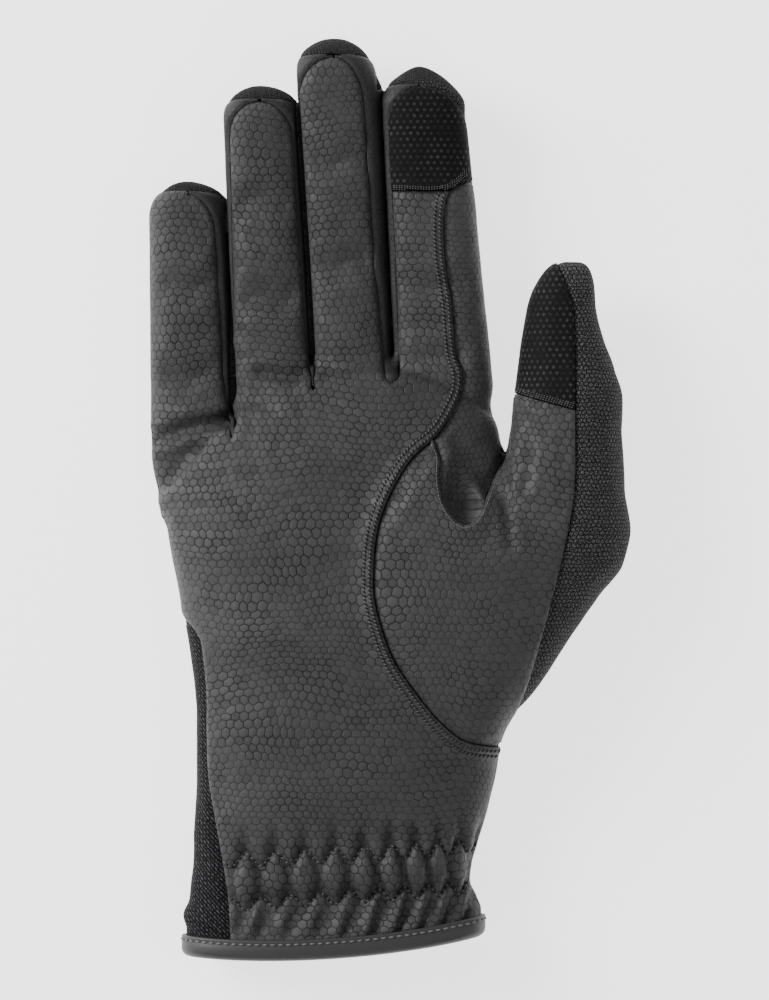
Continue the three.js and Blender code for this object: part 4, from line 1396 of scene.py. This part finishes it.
def round_section(count):
    """Places round the cuff's section, with their outward directions."""
    left, right = hand["left"][0] * half, hand["right"][0] * half
    top, bottom = hand["top"][0] * palm_depth, hand["bottom"][0] * palm_depth
    a, mid = (right - left) / 2, (left + right) / 2
    turn = np.linspace(0, 2 * math.pi, count, endpoint=False)
    c, s = np.cos(turn), np.sin(turn)
    b = np.where(s > 0, top - split_height, split_height - bottom)
    reach = (np.abs(c) ** hand_power + np.abs(s) ** hand_power) ** (-1 / hand_power)
    x, z = mid + a * c * reach, split_height + b * s * reach
    steps = np.hypot(np.diff(x, append=x[0]), np.diff(z, append=z[0]))
    length = np.concatenate([[0], np.cumsum(steps)])
    at = np.linspace(0, length[-1], count, endpoint=False)
    x = np.interp(at, length, np.append(x, x[0]))
    z = np.interp(at, length, np.append(z, z[0]))
    dx = np.roll(x, -1) - np.roll(x, 1)
    dz = np.roll(z, -1) - np.roll(z, 1)
    length = np.hypot(dx, dz)
    return x, z, dz / length, -dx / length


print("the cuff is", np.ptp(round_section(100)[0]).round(), "mm wide")

# %% The folded strip


def binding_profile():
    """(outward, along) of the folded strip's closed section."""
    mid, radius = (outer_off + inner_off) / 2, (outer_off - inner_off) / 2
    turns = np.linspace(0, math.pi, 13)
    fold = [(mid + radius * math.cos(t), radius * 0.95 - radius * 0.95 * math.sin(t)) for t in turns]
    inner_tall = binding_tall * 0.8
    outer_leg = [
        (outer_off - 0.5, binding_tall), (outer_off - 0.12, binding_tall - 0.15),
        (outer_off, binding_tall - 0.6), (outer_off - 0.25, binding_tall - groove_down),
        (outer_off, binding_tall - 1.7), (outer_off, radius + 0.5),
    ]
    inner_leg = [
        (inner_off, inner_tall - 0.5), (inner_off + 0.2, inner_tall),
        (inner_off + binding_skin, inner_tall), (inner_off + binding_skin, fold_start),
    ]
    return outer_leg + fold + inner_leg + [(binding_clear, fold_start), (binding_clear, binding_tall)]


def make_binding(count=260):
    """The profile carried round the hem."""
    x, z, out_x, out_z = round_section(count)
    profile = binding_profile()
    points, faces = [], []
    for off, up in profile:
        px = x + out_x * off
        points.append(np.stack([px, hem_at(px) + up, z + out_z * off], 1))
    for k in range(len(profile)):
        for i in range(count):
            j = (i + 1) % count
            a, b = k * count, ((k + 1) % len(profile)) * count
            faces.append((a + i, b + i, b + j, a + j))
    return np.vstack(points), faces


points, faces = make_binding()
binding = mesh_object("cuff_binding_folded", points, faces, binding_leather)
dress(binding, "cuff_binding")
print("binding:", len(faces), "faces")

# %% [markdown]
# ## Threads
# Each stitch is a short round piece of thread that dips into the leather at both ends, laid
# along a seam's line at a fixed distance from the edge. Real small geometry catches the light
# as the photo's seams do.

# %% Lay a line on the leather
starts = np.cumsum([0] + [len(made["skin"]) for made in panels.values()])
outer_faces = np.vstack([made["faces"] + start for made, start in zip(panels.values(), starts)])
owner = np.concatenate([np.full(len(panels[name]["faces"]), i) for i, name in enumerate(panel_names)])
surface = BVHTree.FromPolygons(
    np.vstack([made["skin"] for made in panels.values()]).tolist(), outer_faces.tolist()
)


def laid(plan, on):
    """Places in plan dropped onto the glove from above, and which of them fall on a panel."""
    spots, ways, hits = [], [], []
    for x, y in plan:
        spot, way, face, _ = surface.ray_cast(Vector((x, y, 60.0)), Vector((0, 0, -1)))
        hits.append(face is not None and panel_names[owner[face]] == on)
        spots.append(spot if hits[-1] else (x, y, 0.0))
        ways.append((way if way.z > 0 else -way) if hits[-1] else (0.0, 0.0, 1.0))
    return np.array(spots, float), np.array(ways, float), np.array(hits)


def evenly(line, pitch, start=0.0):
    """Points every pitch along a line."""
    line = np.array(line, float)
    length = lengths_along(line)
    at = np.arange(start, length[-1], pitch)
    return np.stack([np.interp(at, length, line[:, i]) for i in range(line.shape[1])], 1)


def unit(vectors):
    return vectors / np.maximum(np.linalg.norm(vectors, axis=-1, keepdims=True), 1e-9)


def offset_line(line, off):
    """A line moved sideways in plan, to the left of the way it runs."""
    way = unit(np.gradient(np.array(line, float), axis=0))
    return line + off * np.stack([-way[:, 1], way[:, 0]], 1)


print("threads are laid on", len(outer_faces), "triangles")

# %% Round threads
rings, round_sides = 5, 6  # of one stitch
thread_lift = np.array([-0.9, 0.3, 0.6, 0.3, -0.9])  # of its radius, from end to end
thread_thick = np.array([0.55, 1, 1.05, 1, 0.55])


def thread_mesh(cores, ways, radius):
    """Short round threads, from the places along each and the directions out of the leather."""
    cores = cores + ways * (thread_lift * radius)[None, :, None]
    run = unit(np.gradient(cores, axis=1))
    side = unit(np.cross(run, ways))
    lift = np.cross(side, run)
    turn = np.linspace(0, 2 * math.pi, round_sides, endpoint=False)
    around = side[:, :, None] * np.cos(turn)[:, None] + lift[:, :, None] * np.sin(turn)[:, None]
    points = cores[:, :, None] + around * (thread_thick * radius)[None, :, None, None]
    one = []
    for n in range(rings - 1):
        for k in range(round_sides):
            a, b = n * round_sides + k, n * round_sides + (k + 1) % round_sides
            one.append((a, b, b + round_sides, a + round_sides))
    whole = rings * round_sides
    one += [tuple(reversed(range(round_sides))), tuple(range(whole - round_sides, whole))]
    faces = [tuple(v + n * whole for v in face) for n in range(len(cores)) for face in one]
    return points.reshape(-1, 3), faces


def stitches(line, on, pitch, length, radius, slant=0.0, start=0.0):
    """Stitches along a line in plan, turned aslant from it by an angle in degrees."""
    mids = evenly(line, pitch, start)
    turn = math.radians(slant)
    way = unit(np.gradient(mids, axis=0)) @ np.array([
        [math.cos(turn), math.sin(turn)], [-math.sin(turn), math.cos(turn)]
    ])
    along = np.linspace(-length / 2, length / 2, rings)
    plan = mids[:, None] + along[None, :, None] * way[:, None]
    spots, ways, hits = laid(plan.reshape(-1, 2), on)
    whole = hits.reshape(-1, rings).all(1)
    cores, ways = (part.reshape(-1, rings, 3)[whole] for part in (spots, ways))
    return thread_mesh(cores, ways, radius)


def sew(name, parts, material):
    """One piece of all the stitches of one thread."""
    points, faces = [], []
    for some, joined in parts:
        base = sum(len(p) for p in points)
        points.append(some)
        faces += [tuple(v + base for v in face) for face in joined]
    obj = mesh_object(name, np.vstack(points), faces, material)
    dress(obj, None)
    print(name, len(faces), "faces")
    return obj


print("a stitch has", rings * round_sides, "points")

# %% [markdown]
# ## The seams that show
# Two rows run beside the palm's edge, one along each wavy seam of the gathers, and three close
# ones hold each touch patch. Black and grey thread take turns in the rows of the palm's edge and
# the gathers, so that a seam stays dark, and there the grey stitches are painted highlight on it.
# The running stitch of the cuff is grey.

# %% Sew the palm's edge, the gathers, the patches and the hem
edge_rows = [offset_line(palm_edge, -off) for off in (0.95, 2.35)]
row_x = np.linspace(gather_left + 1, gather_right, 300)
gather_rows = [np.stack([row_x, row_at(row, row_x)], 1) for row in (upper_row, lower_row)]
patch_line = softened([on_finger(index, *p) for p in ((0.6, -0.9), (0.6, 0.417), (0.68, 1.2))], 1.0)
patch_rows = [offset_line(patch_line, off) for off in (0.4, 0.9, 1.4)]
thumb_rows = [offset_line(thumb_patch, off) for off in (0.5, 1.0, 1.5)]
# Each row: its line, the panel that holds it, its pitch, and a stitch's length, radius and slant
black_rows = [(line, "palm_panel", 1.05, 1.0, 0.25, 50) for line in edge_rows]
black_rows += [(line, "palm_panel", 1.5, 0.9, 0.24) for line in gather_rows]
# grey stitches between the black ones: painted highlight on the dark rows of the palm's edge and the
# gathers
grey_and_highlight_rows = [(line, "palm_panel", 1.05, 0.85, 0.15, 50, 0.5) for line in edge_rows]
grey_and_highlight_rows += [(line, "palm_panel", 1.5, 0.7, 0.16, 0, 0.75) for line in gather_rows]
grey_and_highlight_rows += [(line, "index_touch_patch", 0.7, 0.4, 0.09, 30) for line in patch_rows]
grey_and_highlight_rows += [(line, "thumb_touch_patch", 0.7, 0.4, 0.09, 30) for line in thumb_rows]
grey_and_highlight_rows += [(offset_line(crotch, -0.8), "thumb_palm_panel", 0.9, 0.8, 0.11)]
sew("black_thread", [stitches(*row) for row in black_rows], thread_black)
sew("grey_and_highlight_thread", [stitches(*row) for row in grey_and_highlight_rows], thread_grey_and_highlight)

hem_pitch, hem_stitch, hem_sink, hem_radius = 2.05, 1.35, 0.1, 0.25


def hem_stitches():
    """A running stitch round the binding, in its groove."""
    x, z, out_x, out_z = round_section(400)
    off, up = outer_off - hem_sink, binding_tall - groove_down
    ring_x = x + out_x * off
    ring = np.stack([ring_x, hem_at(ring_x) + up, z + out_z * off], 1)
    mids = evenly(np.vstack([ring, ring[:1]]), hem_pitch)
    way = unit(np.roll(mids, -1, axis=0) - np.roll(mids, 1, axis=0))
    along = np.linspace(-0.5, 0.5, rings)[None, :, None] * hem_stitch
    out_way = unit(np.cross(way, np.array([0.0, 1.0, 0.0])))
    out_way *= np.sign((out_way * (mids - mids.mean(0))).sum(1))[:, None]
    out_ways = np.repeat(out_way[:, None], rings, axis=1)
    return thread_mesh(mids[:, None] + along * way[:, None], out_ways, hem_radius)


sew("hem_thread", [hem_stitches()], thread_grey_and_highlight)

# %% [markdown]
# ## Floor, light and camera
# A glove photographed for a shop lies on white under a large soft light, seen from straight
# above. The camera is far away with a long lens, so that the outline is nearly parallel.

# %% Floor
floor_reach, floor_glow = 3.0, 2.2  # it glows, because the photo's ground is nearly white
floor_mesh = bpy.data.meshes.new("floor")
floor_corners = [(-1, -1), (1, -1), (1, 1), (-1, 1)]
floor_mesh.from_pydata(
    [(x * floor_reach, y * floor_reach, 0) for x, y in floor_corners], [], [(0, 1, 2, 3)]
)
floor = bpy.data.objects.new("floor", floor_mesh)
bpy.context.scene.collection.objects.link(floor)
floor.location.z = -0.0005
floor_finish = Finish("white_floor")
white = rgb(0.92, 0.92, 0.92)
floor_shader = floor_finish.node("BsdfPrincipled", {}, {
    "Base Color": white, "Roughness": 0.9,
    "Emission Color": white, "Emission Strength": floor_glow,
})
floor_mesh.materials.append(floor_finish.output(floor_shader))
print("floor:", 2 * floor_reach, "m wide")

# %% Light


def soft_light(name, place, size, power):
    """A square studio light that faces the glove."""
    light = bpy.data.lights.new(name, "AREA")
    light.shape, light.size, light.energy = "SQUARE", size, power
    obj = bpy.data.objects.new(name, light)
    obj.location = place
    obj.rotation_mode = "QUATERNION"
    obj.rotation_quaternion = (-Vector(place)).to_track_quat("-Z", "Y")
    bpy.context.scene.collection.objects.link(obj)
    return obj


soft_light("left_light", (-1.1, 0.55, 0.7), 0.7, 31)  # the main light, low and from the left
soft_light("right_light", (0.9, -0.1, 1.0), 0.9, 3)
soft_light("front_light", (0.0, -1.0, 0.9), 0.9, 3)
world = bpy.data.worlds.new("studio")
bpy.context.scene.world = world
world.use_nodes = True
backdrop = world.node_tree.nodes["Background"]
backdrop.inputs["Color"].default_value = rgb(1, 1, 1)
backdrop.inputs["Strength"].default_value = 0.3
print("lights:", len(bpy.data.lights))

# %% Camera
photo_tall, lens, sensor = 0.26, 200.0, 36.0  # metres from top to bottom, then millimetres
outline_height = 0.012  # the glove's outline lies about here above the floor
camera_data = bpy.data.cameras.new("camera")
camera_data.lens, camera_data.sensor_width, camera_data.sensor_fit = lens, sensor, "AUTO"
camera_data.clip_end = 100.0
camera = bpy.data.objects.new("camera", camera_data)
camera.location = (-0.0016, -0.0002, photo_tall * lens / sensor + outline_height)
bpy.context.scene.collection.objects.link(camera)
bpy.context.scene.camera = camera
print("camera:", round(camera.location.z, 2), "m above the floor")
